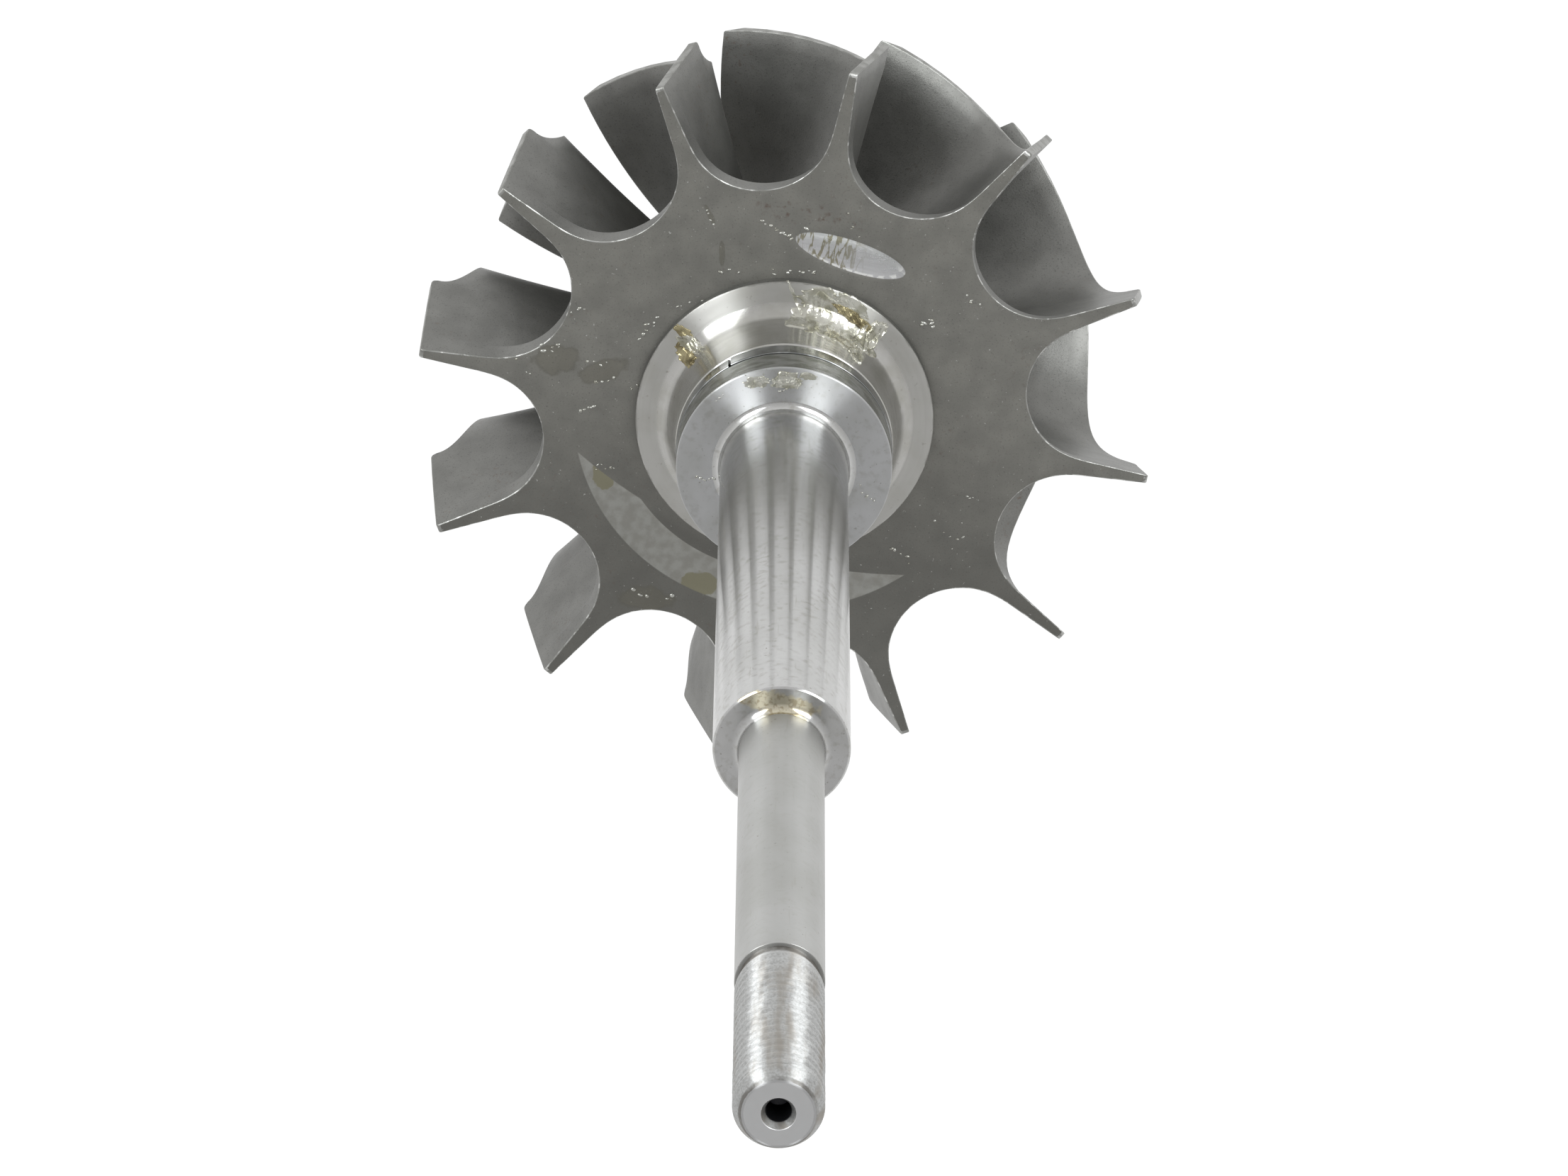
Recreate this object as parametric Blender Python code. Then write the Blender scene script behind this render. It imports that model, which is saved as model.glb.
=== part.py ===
"""Turbine wheel and shaft of a small turbocharger.

The wheel stands on its nose at the origin, and the shaft points up along +Z.
Heights are worked out from the back face of the wheel, which is the flat side
that faces the shaft. A depth is measured down from the back face, towards the
nose, and a height is measured up from it, towards the threaded end.
"""

import math

import bmesh
import bpy
import numpy as np

MM = 0.001

# Wheel
BLADE_COUNT = 12
WHEEL_RADIUS = 23.5 * MM
OUTLET_RADIUS = 19.75 * MM
OUTLET_DEPTH = 18.4 * MM
INLET_WIDTH = 6.9 * MM
HUB_TOP_RADIUS = 15.2 * MM
HUB_NOSE_RADIUS = 5.6 * MM
ROOT_GAP = 0.3 * MM

# Scalloped back disc
DISC_THICKNESS = 1.3 * MM
SCALLOP_RADIUS = 15.4 * MM
SCALLOP_ROUNDING = 4.5 * MM
SPOKE_TIP_HALF_WIDTH = 0.26 * MM
SPOKE_TAPER = 0.06
SCALLOP_POWER = 3
SCALLOP_STEPS = 9

# Blades
BLADE_TIP_THICKNESS = 0.5 * MM
BLADE_ROOT_THICKNESS = 1.4 * MM
INLET_LEAN_PER_METRE = math.radians(-0.782) / MM
SWEEP_START_DEPTH = 4.7 * MM
SWEEP_ANGLE = math.radians(34.7)
SWEEP_POWER = 3
OUTLET_TWIST_PER_METRE = math.radians(0.66) / MM
TWIST_POWER = 1.5
THICKNESS_POWER = 1.5
INLET_STEPS = 4
SHROUD_STEPS = 6
SPAN_STEPS = 5

# Nose
NOSE_LENGTH = 5.1 * MM
HEX_HEIGHT = 3.0 * MM
HEX_ACROSS_FLATS = 8.0 * MM
HEX_CHAMFER = 0.5 * MM
HEX_CHAMFER_SLOPE = 0.6
HEX_SIDES = 6
NOSE_NECK_RADIUS = 4.9 * MM
NOSE_DRILL_RADIUS = 1.2 * MM
NOSE_DRILL_DEPTH = 1.6 * MM

# Flared collar on the back face
COLLAR_FOOT_RADIUS = 9.6 * MM
COLLAR_BAND_RADIUS = 8.15 * MM
COLLAR_BAND_HEIGHT = 2.5 * MM
COLLAR_TOP_RADIUS = 6.9 * MM
COLLAR_TOP_HEIGHT = 4.1 * MM
COLLAR_FOOT_STEP = 0.3 * MM
COLLAR_BOW = 0.12
COLLAR_STEPS = 4

# Seal boss and its split ring
BOSS_RADIUS = 6.76 * MM
BOSS_REAR_RADIUS = 6.55 * MM
BOSS_FRONT_HEIGHT = 8.4 * MM
BOSS_EDGE = 0.12 * MM
GROOVE_REAR_HEIGHT = 4.75 * MM
GROOVE_FRONT_HEIGHT = 6.05 * MM
GROOVE_RADIUS = 5.5 * MM
RING_OUTER_RADIUS = 6.85 * MM
RING_INNER_RADIUS = 5.8 * MM
RING_WIDTH = 1.2 * MM
RING_GAP = 0.2 * MM
RING_GAP_ANGLE = math.radians(130.6)

# Shaft
JOURNAL_RADIUS = 4.0 * MM
JOURNAL_END_HEIGHT = 50.4 * MM
JOURNAL_CHAMFER = 0.25 * MM
BOSS_FILLET = 0.9 * MM
STUB_RADIUS = 2.48 * MM
STUB_FOOT_LENGTH = 0.4 * MM
STUB_END_HEIGHT = 80.6 * MM
THREAD_RADIUS = 2.47 * MM
THREAD_RELIEF = 0.15 * MM
THREAD_RELIEF_LENGTH = 0.4 * MM
TIP_HEIGHT = 96.0 * MM
TIP_CHAMFER = 0.62 * MM
TIP_DRILL_RADIUS = 0.97 * MM
TIP_DRILL_DEPTH = 1.5 * MM

# Facets
WHEEL_FACETS = 60
SHAFT_FACETS = 40
HUB_STEPS = 12
ROUND_STEPS = 5
SMOOTH_LIMIT = math.radians(35)

BACK_FACE_Z = NOSE_LENGTH + OUTLET_DEPTH
PITCH = 2 * math.pi / BLADE_COUNT


def clear_scene():
    """Remove every object that the file starts with."""
    for item in list(bpy.data.objects):
        bpy.data.objects.remove(item, do_unlink=True)


def metal(name, colour, roughness, metallic=1.0):
    """Make one metal finish as a Principled material."""
    finish = bpy.data.materials.new(name)
    finish.use_nodes = True
    shader = finish.node_tree.nodes["Principled BSDF"]
    shader.inputs["Base Color"].default_value = (*colour, 1.0)
    shader.inputs["Roughness"].default_value = roughness
    shader.inputs["Metallic"].default_value = metallic
    return finish


def add_object(name, mesh, finish):
    """Put a mesh in the scene as a named, smooth shaded object."""
    mesh.materials.append(finish)
    mesh.shade_smooth()
    mesh.set_sharp_from_angle(angle=SMOOTH_LIMIT)
    item = bpy.data.objects.new(name, mesh)
    bpy.context.scene.collection.objects.link(item)
    return item


def mesh_from_bmesh(name, shape):
    """Close off a bmesh as a mesh whose faces point outwards."""
    bmesh.ops.recalc_face_normals(shape, faces=shape.faces)
    mesh = bpy.data.meshes.new(name)
    shape.to_mesh(mesh)
    shape.free()
    return mesh


def turned(name, profile, finish, facets):
    """Spin a profile of (radius, z) points, from axis to axis, about Z."""
    shape = bmesh.new()
    points = [shape.verts.new((radius, 0.0, z)) for radius, z in profile]
    edges = [shape.edges.new(pair) for pair in zip(points, points[1:])]
    bmesh.ops.spin(
        shape,
        geom=points + edges,
        cent=(0, 0, 0),
        axis=(0, 0, 1),
        angle=2 * math.pi,
        steps=facets,
        use_merge=True,
    )
    bmesh.ops.remove_doubles(shape, verts=shape.verts, dist=0.0001 * MM)
    return add_object(name, mesh_from_bmesh(name, shape), finish)


def quarter_round(start, end):
    """Points (radius, z) of a hollow quarter ellipse, from start inwards to end."""
    points = []
    for step in range(ROUND_STEPS + 1):
        angle = 0.5 * math.pi * step / ROUND_STEPS
        radius = start[0] + (end[0] - start[0]) * math.sin(angle)
        height = start[1] + (end[1] - start[1]) * (1 - math.cos(angle))
        points.append((radius, height))
    return points


# Blade surface


def hub_radius(depth):
    """Radius of the hub at a depth below the back face."""
    share = (OUTLET_DEPTH - depth) / (OUTLET_DEPTH - DISC_THICKNESS)
    bend = math.sqrt(max(0.0, 1 - share * share))
    return HUB_TOP_RADIUS - (HUB_TOP_RADIUS - HUB_NOSE_RADIUS) * bend


def tip_radius(depth):
    """Radius of the blade's outer edge at a depth below the back face."""
    if depth <= INLET_WIDTH:
        return WHEEL_RADIUS
    share = (OUTLET_DEPTH - depth) / (OUTLET_DEPTH - INLET_WIDTH)
    bend = math.sqrt(max(0.0, 1 - share * share))
    return WHEEL_RADIUS - (WHEEL_RADIUS - OUTLET_RADIUS) * bend


def blade_turn(depth, inset):
    """Angle of the blade's middle surface at a depth, an inset from its tip."""
    sweep = max(0.0, depth - SWEEP_START_DEPTH) / (OUTLET_DEPTH - SWEEP_START_DEPTH)
    turn = INLET_LEAN_PER_METRE * depth + SWEEP_ANGLE * sweep**SWEEP_POWER
    return turn + OUTLET_TWIST_PER_METRE * sweep**TWIST_POWER * inset


def blade_depths():
    """Depths of the rows of the blade, from the disc to the outlet."""
    inlet = np.linspace(DISC_THICKNESS, INLET_WIDTH, INLET_STEPS + 1)
    angles = np.linspace(0, 0.5 * math.pi, SHROUD_STEPS + 1)[1:]
    shroud = OUTLET_DEPTH - (OUTLET_DEPTH - INLET_WIDTH) * np.cos(angles)
    return [float(depth) for depth in (*inlet, *shroud)]


def blade_row(depth):
    """Points of the middle surface at one depth, from root to tip."""
    root = hub_radius(depth) + ROOT_GAP
    tip = tip_radius(depth)
    row = []
    for step in range(SPAN_STEPS + 1):
        share = step / SPAN_STEPS
        radius = root + (tip - root) * share
        turn = blade_turn(depth, tip - radius)
        row.append((radius * math.cos(turn), radius * math.sin(turn), BACK_FACE_Z - depth))
    return row


def blade_mesh():
    """Mesh of one blade, its faces offset level to both sides of the middle surface."""
    middle = np.array([blade_row(depth) for depth in blade_depths()])
    down = np.gradient(middle, axis=0)
    out = np.gradient(middle, axis=1)
    normal = np.cross(out, down)
    normal /= np.linalg.norm(normal, axis=2, keepdims=True)
    level = normal[:, :, :2]
    level = level / np.sum(level * level, axis=2, keepdims=True)
    to_root = 1 - np.linspace(0, 1, SPAN_STEPS + 1)[None, :, None]
    extra = (BLADE_ROOT_THICKNESS - BLADE_TIP_THICKNESS) * to_root**THICKNESS_POWER
    offset = 0.5 * (BLADE_TIP_THICKNESS + extra) * level
    sides = []
    for sign in (1, -1):
        side = middle.copy()
        side[:, :, :2] += sign * offset
        reach = np.linalg.norm(side[:, :, :2], axis=2)
        limit = np.minimum(reach, WHEEL_RADIUS)
        side[:, :, :2] *= (limit / reach)[:, :, None]
        sides.append(side)
    rows, columns = middle.shape[:2]

    shape = bmesh.new()
    grid = []
    for side in sides:
        grid.append([[shape.verts.new(point) for point in row] for row in side])
    for side in grid:
        for i in range(rows - 1):
            for j in range(columns - 1):
                shape.faces.new((side[i][j], side[i][j + 1], side[i + 1][j + 1], side[i + 1][j]))
    front, rear = grid
    rim = [(0, j) for j in range(columns)] + [(i, columns - 1) for i in range(1, rows)]
    rim += [(rows - 1, j) for j in reversed(range(columns - 1))]
    rim += [(i, 0) for i in reversed(range(1, rows - 1))]
    for here, there in zip(rim, rim[1:] + rim[:1]):
        corners = (front[here[0]][here[1]], front[there[0]][there[1]])
        corners += (rear[there[0]][there[1]], rear[here[0]][here[1]])
        shape.faces.new(corners)
    return mesh_from_bmesh("blade", shape)


def make_blades(finish):
    """Twelve blades that share one mesh, numbered counter-clockwise seen from the shaft."""
    mesh = blade_mesh()
    mesh.materials.append(finish)
    mesh.shade_smooth()
    mesh.set_sharp_from_angle(angle=SMOOTH_LIMIT)
    for number in range(BLADE_COUNT):
        blade = bpy.data.objects.new(f"blade_{number + 1:02d}", mesh)
        blade.rotation_euler.z = number * PITCH
        bpy.context.scene.collection.objects.link(blade)


# Wheel body


def scallop_half_width(radius):
    """Half the width of a scallop at a radius, square to the spoke."""
    height = radius - SCALLOP_RADIUS
    spoke = SPOKE_TIP_HALF_WIDTH + SPOKE_TAPER * (WHEEL_RADIUS - radius)
    rest = max(0.0, 1 - height / SCALLOP_ROUNDING)
    return (0.5 * PITCH * radius - spoke) * math.sqrt(1 - rest**SCALLOP_POWER)


def scallop_side():
    """Points (radius, angle) of one side of a scallop, from its bottom to the rim."""
    points = []
    for step in range(SCALLOP_STEPS + 1):
        radius = SCALLOP_RADIUS + (WHEEL_RADIUS - SCALLOP_RADIUS) * (step / SCALLOP_STEPS) ** 2
        points.append((radius, scallop_half_width(radius) / radius))
    return points


def make_back_disc(finish):
    """Star plate with a scallop between each two spokes, leaning as the blades lean."""
    side = scallop_side()
    outline = [(radius, -angle) for radius, angle in reversed(side)] + side[1:]
    shape = bmesh.new()
    corners = []
    for number in range(BLADE_COUNT):
        middle = (number + 0.5) * PITCH
        for radius, angle in outline:
            turn = middle + angle
            corners.append(
                shape.verts.new((radius * math.cos(turn), radius * math.sin(turn), BACK_FACE_Z))
            )
    plate = shape.faces.new(corners)
    lower = bmesh.ops.extrude_face_region(shape, geom=[plate])["geom"]
    lower = [item for item in lower if isinstance(item, bmesh.types.BMVert)]
    lean = blade_turn(DISC_THICKNESS, 0.0)
    for corner in lower:
        x, y, z = corner.co
        corner.co = (
            x * math.cos(lean) - y * math.sin(lean),
            x * math.sin(lean) + y * math.cos(lean),
            z - DISC_THICKNESS,
        )
    bmesh.ops.triangulate(shape, faces=[face for face in shape.faces if len(face.verts) == 4])
    add_object("back_disc", mesh_from_bmesh("back_disc", shape), finish)


def make_wheel_hub(finish):
    """Turned body of the casting between the blades, down to the neck of the nose."""
    profile = [(0.0, BACK_FACE_Z - DISC_THICKNESS)]
    for step in range(HUB_STEPS + 1):
        angle = 0.5 * math.pi * step / HUB_STEPS
        depth = OUTLET_DEPTH - (OUTLET_DEPTH - DISC_THICKNESS) * math.cos(angle)
        profile.append((hub_radius(depth), BACK_FACE_Z - depth))
    profile.append((NOSE_NECK_RADIUS, HEX_HEIGHT))
    profile.append((0.0, HEX_HEIGHT))
    turned("wheel_hub", profile, finish, WHEEL_FACETS)


def make_nose_hex(finish):
    """Cast hexagon on the nose, chamfered and centre drilled."""
    corner = HEX_ACROSS_FLATS / math.sqrt(3)
    shape = bmesh.new()
    bmesh.ops.create_cone(
        shape,
        cap_ends=True,
        segments=HEX_SIDES,
        radius1=corner,
        radius2=corner,
        depth=HEX_HEIGHT,
    )
    bmesh.ops.translate(shape, verts=shape.verts, vec=(0, 0, 0.5 * HEX_HEIGHT))
    nut = add_object("nose_hex", mesh_from_bmesh("nose_hex", shape), finish)

    end_radius = 0.5 * HEX_ACROSS_FLATS - HEX_CHAMFER
    outside = corner + MM
    keeper = turned(
        "nose_keeper",
        [
            (0.0, HEX_HEIGHT + MM),
            (outside, HEX_HEIGHT + MM),
            (outside, (outside - end_radius) * HEX_CHAMFER_SLOPE),
            (end_radius, 0.0),
            (NOSE_DRILL_RADIUS, 0.0),
            (0.0, NOSE_DRILL_DEPTH),
        ],
        finish,
        SHAFT_FACETS,
    )
    keeper.hide_render = True
    keeper.display_type = "WIRE"
    cut = nut.modifiers.new("chamfer_and_drill", "BOOLEAN")
    cut.operation = "INTERSECT"
    cut.object = keeper


# Seal end


def make_hub_collar(finish):
    """Concave flare that rises from the back face to the seal boss."""
    profile = [(0.0, BACK_FACE_Z), (COLLAR_FOOT_RADIUS, BACK_FACE_Z)]
    foot = (COLLAR_FOOT_RADIUS - 0.5 * COLLAR_FOOT_STEP, BACK_FACE_Z + COLLAR_FOOT_STEP)
    band = (COLLAR_BAND_RADIUS, BACK_FACE_Z + COLLAR_BAND_HEIGHT)
    top = (COLLAR_TOP_RADIUS, BACK_FACE_Z + COLLAR_TOP_HEIGHT)
    profile.append(foot)
    for step in range(1, COLLAR_STEPS + 1):
        share = step / COLLAR_STEPS
        dip = COLLAR_BOW * math.sin(math.pi * share)
        radius = foot[0] - (foot[0] - band[0]) * (share + dip)
        profile.append((radius, foot[1] + (band[1] - foot[1]) * share))
    profile += quarter_round(band, top)[1:]
    profile.append((0.0, top[1]))
    turned("hub_collar", profile, finish, WHEEL_FACETS)


def make_seal_boss(finish):
    """Drum with the ring groove and the fillet that runs into the journal."""
    base = BACK_FACE_Z
    fillet_foot = (JOURNAL_RADIUS + BOSS_FILLET, base + BOSS_FRONT_HEIGHT)
    fillet_top = (JOURNAL_RADIUS, base + BOSS_FRONT_HEIGHT + BOSS_FILLET)
    profile = [
        (0.0, base + COLLAR_TOP_HEIGHT),
        (BOSS_REAR_RADIUS, base + COLLAR_TOP_HEIGHT),
        (BOSS_REAR_RADIUS, base + GROOVE_REAR_HEIGHT),
        (GROOVE_RADIUS, base + GROOVE_REAR_HEIGHT),
        (GROOVE_RADIUS, base + GROOVE_FRONT_HEIGHT),
        (BOSS_RADIUS, base + GROOVE_FRONT_HEIGHT),
        (BOSS_RADIUS, base + BOSS_FRONT_HEIGHT - BOSS_EDGE),
        (BOSS_RADIUS - BOSS_EDGE, base + BOSS_FRONT_HEIGHT),
    ]
    profile += quarter_round(fillet_foot, fillet_top)
    profile.append((0.0, fillet_top[1]))
    turned("seal_boss", profile, finish, WHEEL_FACETS)


def make_seal_ring(finish):
    """Split ring that lies on the rear side of its groove, open at the gap."""
    half_gap = 0.5 * RING_GAP / RING_OUTER_RADIUS
    start = RING_GAP_ANGLE + half_gap
    sweep = 2 * math.pi - 2 * half_gap
    bottom = BACK_FACE_Z + GROOVE_REAR_HEIGHT
    section = [
        (RING_INNER_RADIUS, bottom),
        (RING_OUTER_RADIUS, bottom),
        (RING_OUTER_RADIUS, bottom + RING_WIDTH),
        (RING_INNER_RADIUS, bottom + RING_WIDTH),
    ]
    shape = bmesh.new()
    loops = []
    for step in range(WHEEL_FACETS + 1):
        turn = start + sweep * step / WHEEL_FACETS
        loops.append(
            [shape.verts.new((r * math.cos(turn), r * math.sin(turn), z)) for r, z in section]
        )
    for here, there in zip(loops, loops[1:]):
        for corner in range(4):
            following = (corner + 1) % 4
            shape.faces.new((here[corner], here[following], there[following], there[corner]))
    shape.faces.new(loops[0])
    shape.faces.new(loops[-1])
    add_object("seal_ring", mesh_from_bmesh("seal_ring", shape), finish)


# Shaft


def make_journal(finish):
    """Ground bearing part of the shaft, its shoulder and the foot of the stub."""
    bottom = BACK_FACE_Z + BOSS_FRONT_HEIGHT + BOSS_FILLET
    top = BACK_FACE_Z + JOURNAL_END_HEIGHT
    profile = [
        (0.0, bottom),
        (JOURNAL_RADIUS, bottom),
        (JOURNAL_RADIUS, top - JOURNAL_CHAMFER),
        (JOURNAL_RADIUS - JOURNAL_CHAMFER, top),
        (STUB_RADIUS, top),
        (STUB_RADIUS, top + STUB_FOOT_LENGTH),
        (0.0, top + STUB_FOOT_LENGTH),
    ]
    turned("shaft_journal", profile, finish, SHAFT_FACETS)


def make_stub(finish):
    """Thinner ground part of the shaft, which carries the other wheel."""
    bottom = BACK_FACE_Z + JOURNAL_END_HEIGHT + STUB_FOOT_LENGTH
    top = BACK_FACE_Z + STUB_END_HEIGHT
    profile = [(0.0, bottom), (STUB_RADIUS, bottom), (STUB_RADIUS, top), (0.0, top)]
    turned("shaft_stub", profile, finish, SHAFT_FACETS)


def make_thread(finish):
    """Threaded end, with a relief at its foot, a chamfer and a centre drilling."""
    bottom = BACK_FACE_Z + STUB_END_HEIGHT
    top = BACK_FACE_Z + TIP_HEIGHT
    relief = THREAD_RADIUS - THREAD_RELIEF
    profile = [
        (0.0, bottom),
        (relief, bottom),
        (relief, bottom + THREAD_RELIEF_LENGTH),
        (THREAD_RADIUS, bottom + THREAD_RELIEF_LENGTH + THREAD_RELIEF),
        (THREAD_RADIUS, top - TIP_CHAMFER),
        (THREAD_RADIUS - TIP_CHAMFER, top),
        (TIP_DRILL_RADIUS, top),
        (0.0, top - TIP_DRILL_DEPTH),
    ]
    turned("shaft_thread", profile, finish, SHAFT_FACETS)


def main():
    """Build every piece of the wheel and its shaft."""
    clear_scene()
    cast = metal("cast_alloy", (0.12, 0.12, 0.11), 0.55)
    machined = metal("machined_alloy", (0.42, 0.42, 0.40), 0.35)
    ground = metal("ground_steel", (0.55, 0.56, 0.56), 0.22)
    spring = metal("ring_steel", (0.30, 0.32, 0.33), 0.30)
    thread = metal("thread_steel", (0.60, 0.60, 0.60), 0.28)

    make_wheel_hub(cast)
    make_back_disc(cast)
    make_blades(cast)
    make_nose_hex(cast)
    make_hub_collar(machined)
    make_seal_boss(ground)
    make_seal_ring(spring)
    make_journal(ground)
    make_stub(ground)
    make_thread(thread)


main()
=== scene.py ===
"""Looks of a small turbocharger's turbine wheel and its shaft.

The wheel stands on its nose on a pale floor, with the shaft upright. Sizes here are in
millimetres. A height is measured up the shaft from the wheel's flat back face, and a depth is
measured down from it, towards the nose. An azimuth runs counter-clockwise seen from the shaft,
from the middle of the first blade.
"""

import logging
import math
from dataclasses import dataclass
from enum import Enum, IntEnum

import bmesh
import bpy
import numpy as np
from mathutils import Matrix, Vector


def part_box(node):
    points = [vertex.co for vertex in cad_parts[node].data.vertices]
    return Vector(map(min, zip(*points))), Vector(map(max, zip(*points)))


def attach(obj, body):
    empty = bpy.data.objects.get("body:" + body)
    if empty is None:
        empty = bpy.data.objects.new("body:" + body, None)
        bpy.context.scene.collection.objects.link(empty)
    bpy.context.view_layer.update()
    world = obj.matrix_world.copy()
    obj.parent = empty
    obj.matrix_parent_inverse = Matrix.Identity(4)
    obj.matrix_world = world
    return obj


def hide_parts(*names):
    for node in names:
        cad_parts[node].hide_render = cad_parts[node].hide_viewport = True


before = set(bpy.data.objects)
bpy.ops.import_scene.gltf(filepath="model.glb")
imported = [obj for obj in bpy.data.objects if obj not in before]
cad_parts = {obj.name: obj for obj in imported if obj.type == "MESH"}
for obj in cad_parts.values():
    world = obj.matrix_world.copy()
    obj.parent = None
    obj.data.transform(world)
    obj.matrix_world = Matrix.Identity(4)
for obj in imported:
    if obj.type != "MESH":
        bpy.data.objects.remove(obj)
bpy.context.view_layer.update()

Array = np.ndarray
Colour = tuple[float, float, float]
Range = tuple[float, float]
Socket = bpy.types.NodeSocket

MM = 0.001
BODY = "root"
BLADES = 12
PITCH = 2 * math.pi / BLADES
WELD_DISTANCE = 0.0005
SAME_LEVEL = 0.01
CREASE_ANGLE = math.radians(40)
QUARTER_TURN = 0.25

logging.basicConfig(level=logging.INFO, format="%(message)s")
log = logging.getLogger("turbine_wheel")


class Slot(Enum):
    """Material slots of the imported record."""

    CAST = "cast_alloy"
    MACHINED = "machined_alloy"
    GROUND = "ground_steel"
    RING = "ring_steel"
    THREAD = "thread_steel"


class Zone(IntEnum):
    """Finishes of the casting, in the order of its material slots."""

    SKIN = 0
    BACK_FACE = 1
    TURNED_RIM = 2


# Grids of points


def polar(radius: Array, azimuth: Array, height: Array) -> Array:
    """Points from cylinder coordinates: x = r cos a, y = r sin a, z = height.

    Args:
        radius: distances from the shaft's axis.
        azimuth: angles round the axis, in radians.
        height: heights above the back face.

    Returns:
        The points, in the common shape of the three arrays with a last axis of 3.
    """
    radius, azimuth, height = np.broadcast_arrays(radius, azimuth, height)
    return np.stack([radius * np.cos(azimuth), radius * np.sin(azimuth), height], axis=-1)


def circle(columns: int) -> Array:
    """Azimuths evenly all the way round, from 0."""
    return np.linspace(0, 2 * np.pi, columns, endpoint=False)


def quarter(rows: int) -> Array:
    """Angles evenly from 0 to a quarter turn, both ends included."""
    return np.linspace(0, 0.5 * np.pi, rows + 1)


def smooth(value: Array) -> Array:
    """Ease from 0 to 1 as value goes from 0 to 1: 3v^2 - 2v^3, level outside."""
    value = np.clip(value, 0.0, 1.0)
    return value * value * (3 - 2 * value)


def ramp(value: Array, ease: float = 0.12) -> Array:
    """Straight rise from 0 to 1 with short parabolas of length ease at both ends."""
    value = np.clip(value, 0.0, 1.0)
    rise = (value - 0.5 * ease) / (1 - ease)
    start = 0.5 * value**2 / (ease * (1 - ease))
    end = 1 - 0.5 * (1 - value) ** 2 / (ease * (1 - ease))
    return np.where(value < ease, start, np.where(value > 1 - ease, end, rise))


def crumple(u: Array, v: Array, seed: int, folds: int = 7) -> Array:
    """Height between 0 and 1 of a crumpled sheet, a sum of triangle waves in random directions.

    Args:
        u: first coordinate, in lengths of the middle fold.
        v: second coordinate, in the same units.
        seed: number that fixes the directions and phases.
        folds: how many waves are added.

    Returns:
        An array in the shape of u and v.
    """
    rng = np.random.default_rng(seed)
    turn = rng.uniform(0, 2 * np.pi, folds)
    length = np.geomspace(0.45, 1.8, folds)
    along = np.multiply.outer(u, np.cos(turn)) + np.multiply.outer(v, np.sin(turn))
    phase = along / length + rng.uniform(0, 1, folds) + 0.12 * ripple(u, v, seed + 1)[..., None]
    return np.abs(2 * np.mod(phase, 1.0) - 1) @ length / length.sum()


def ripple(u: Array, v: Array, seed: int, waves: int = 9) -> Array:
    """Irregular waviness between -1 and 1, a sum of sines in random directions.

    Args:
        u: first coordinate, in wave lengths of the middle wave.
        v: second coordinate, in the same units.
        seed: number that fixes the directions and phases.
        waves: how many sines are added.

    Returns:
        An array in the shape of u and v.
    """
    rng = np.random.default_rng(seed)
    turn = rng.uniform(0, 2 * np.pi, waves)
    rate = 2 * np.pi * np.geomspace(0.45, 2.2, waves)
    phase = rng.uniform(0, 2 * np.pi, waves)
    weight = 1 / rate
    along = np.multiply.outer(u, np.cos(turn)) + np.multiply.outer(v, np.sin(turn))
    total = np.sin(along * rate + phase) @ weight
    return total / weight.sum()


def rounded_profile(corners: list[tuple[float, float, float]], steps: int = 5) -> Array:
    """Profile through corners, each rounded by a parabola that starts and ends on its edges.

    A corner c with rounding e becomes (1-t)^2 a + 2t(1-t) c + t^2 b, where a and b lie e before
    and after it. A point just outside a and b keeps the shading of the straights level.

    Args:
        corners: rows of (radius, height, rounding).
        steps: number of points on each rounding.

    Returns:
        Rows of (radius, height).
    """
    table = np.array(corners, float)
    points = table[:, :2]
    middle, ease = points[1:-1], table[1:-1, 2]
    before = points[:-2] - middle
    after = points[2:] - middle
    before_length = np.linalg.norm(before, axis=1)
    after_length = np.linalg.norm(after, axis=1)
    before = before / before_length[:, None]
    after = after / after_length[:, None]
    hold = np.minimum(0.04, 0.2 * np.minimum(before_length, after_length))
    start = middle + before * ease[:, None]
    end = middle + after * ease[:, None]
    t = np.linspace(0, 1, steps)[None, :, None]
    bend = (1 - t) ** 2 * start[:, None] + 2 * t * (1 - t) * middle[:, None] + t**2 * end[:, None]
    lead = (start + before * hold[:, None])[:, None]
    trail = (end + after * hold[:, None])[:, None]
    inner = np.concatenate([lead, bend, trail], axis=1).reshape(-1, 2)
    return np.concatenate([points[:1], inner, points[-1:]])


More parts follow.
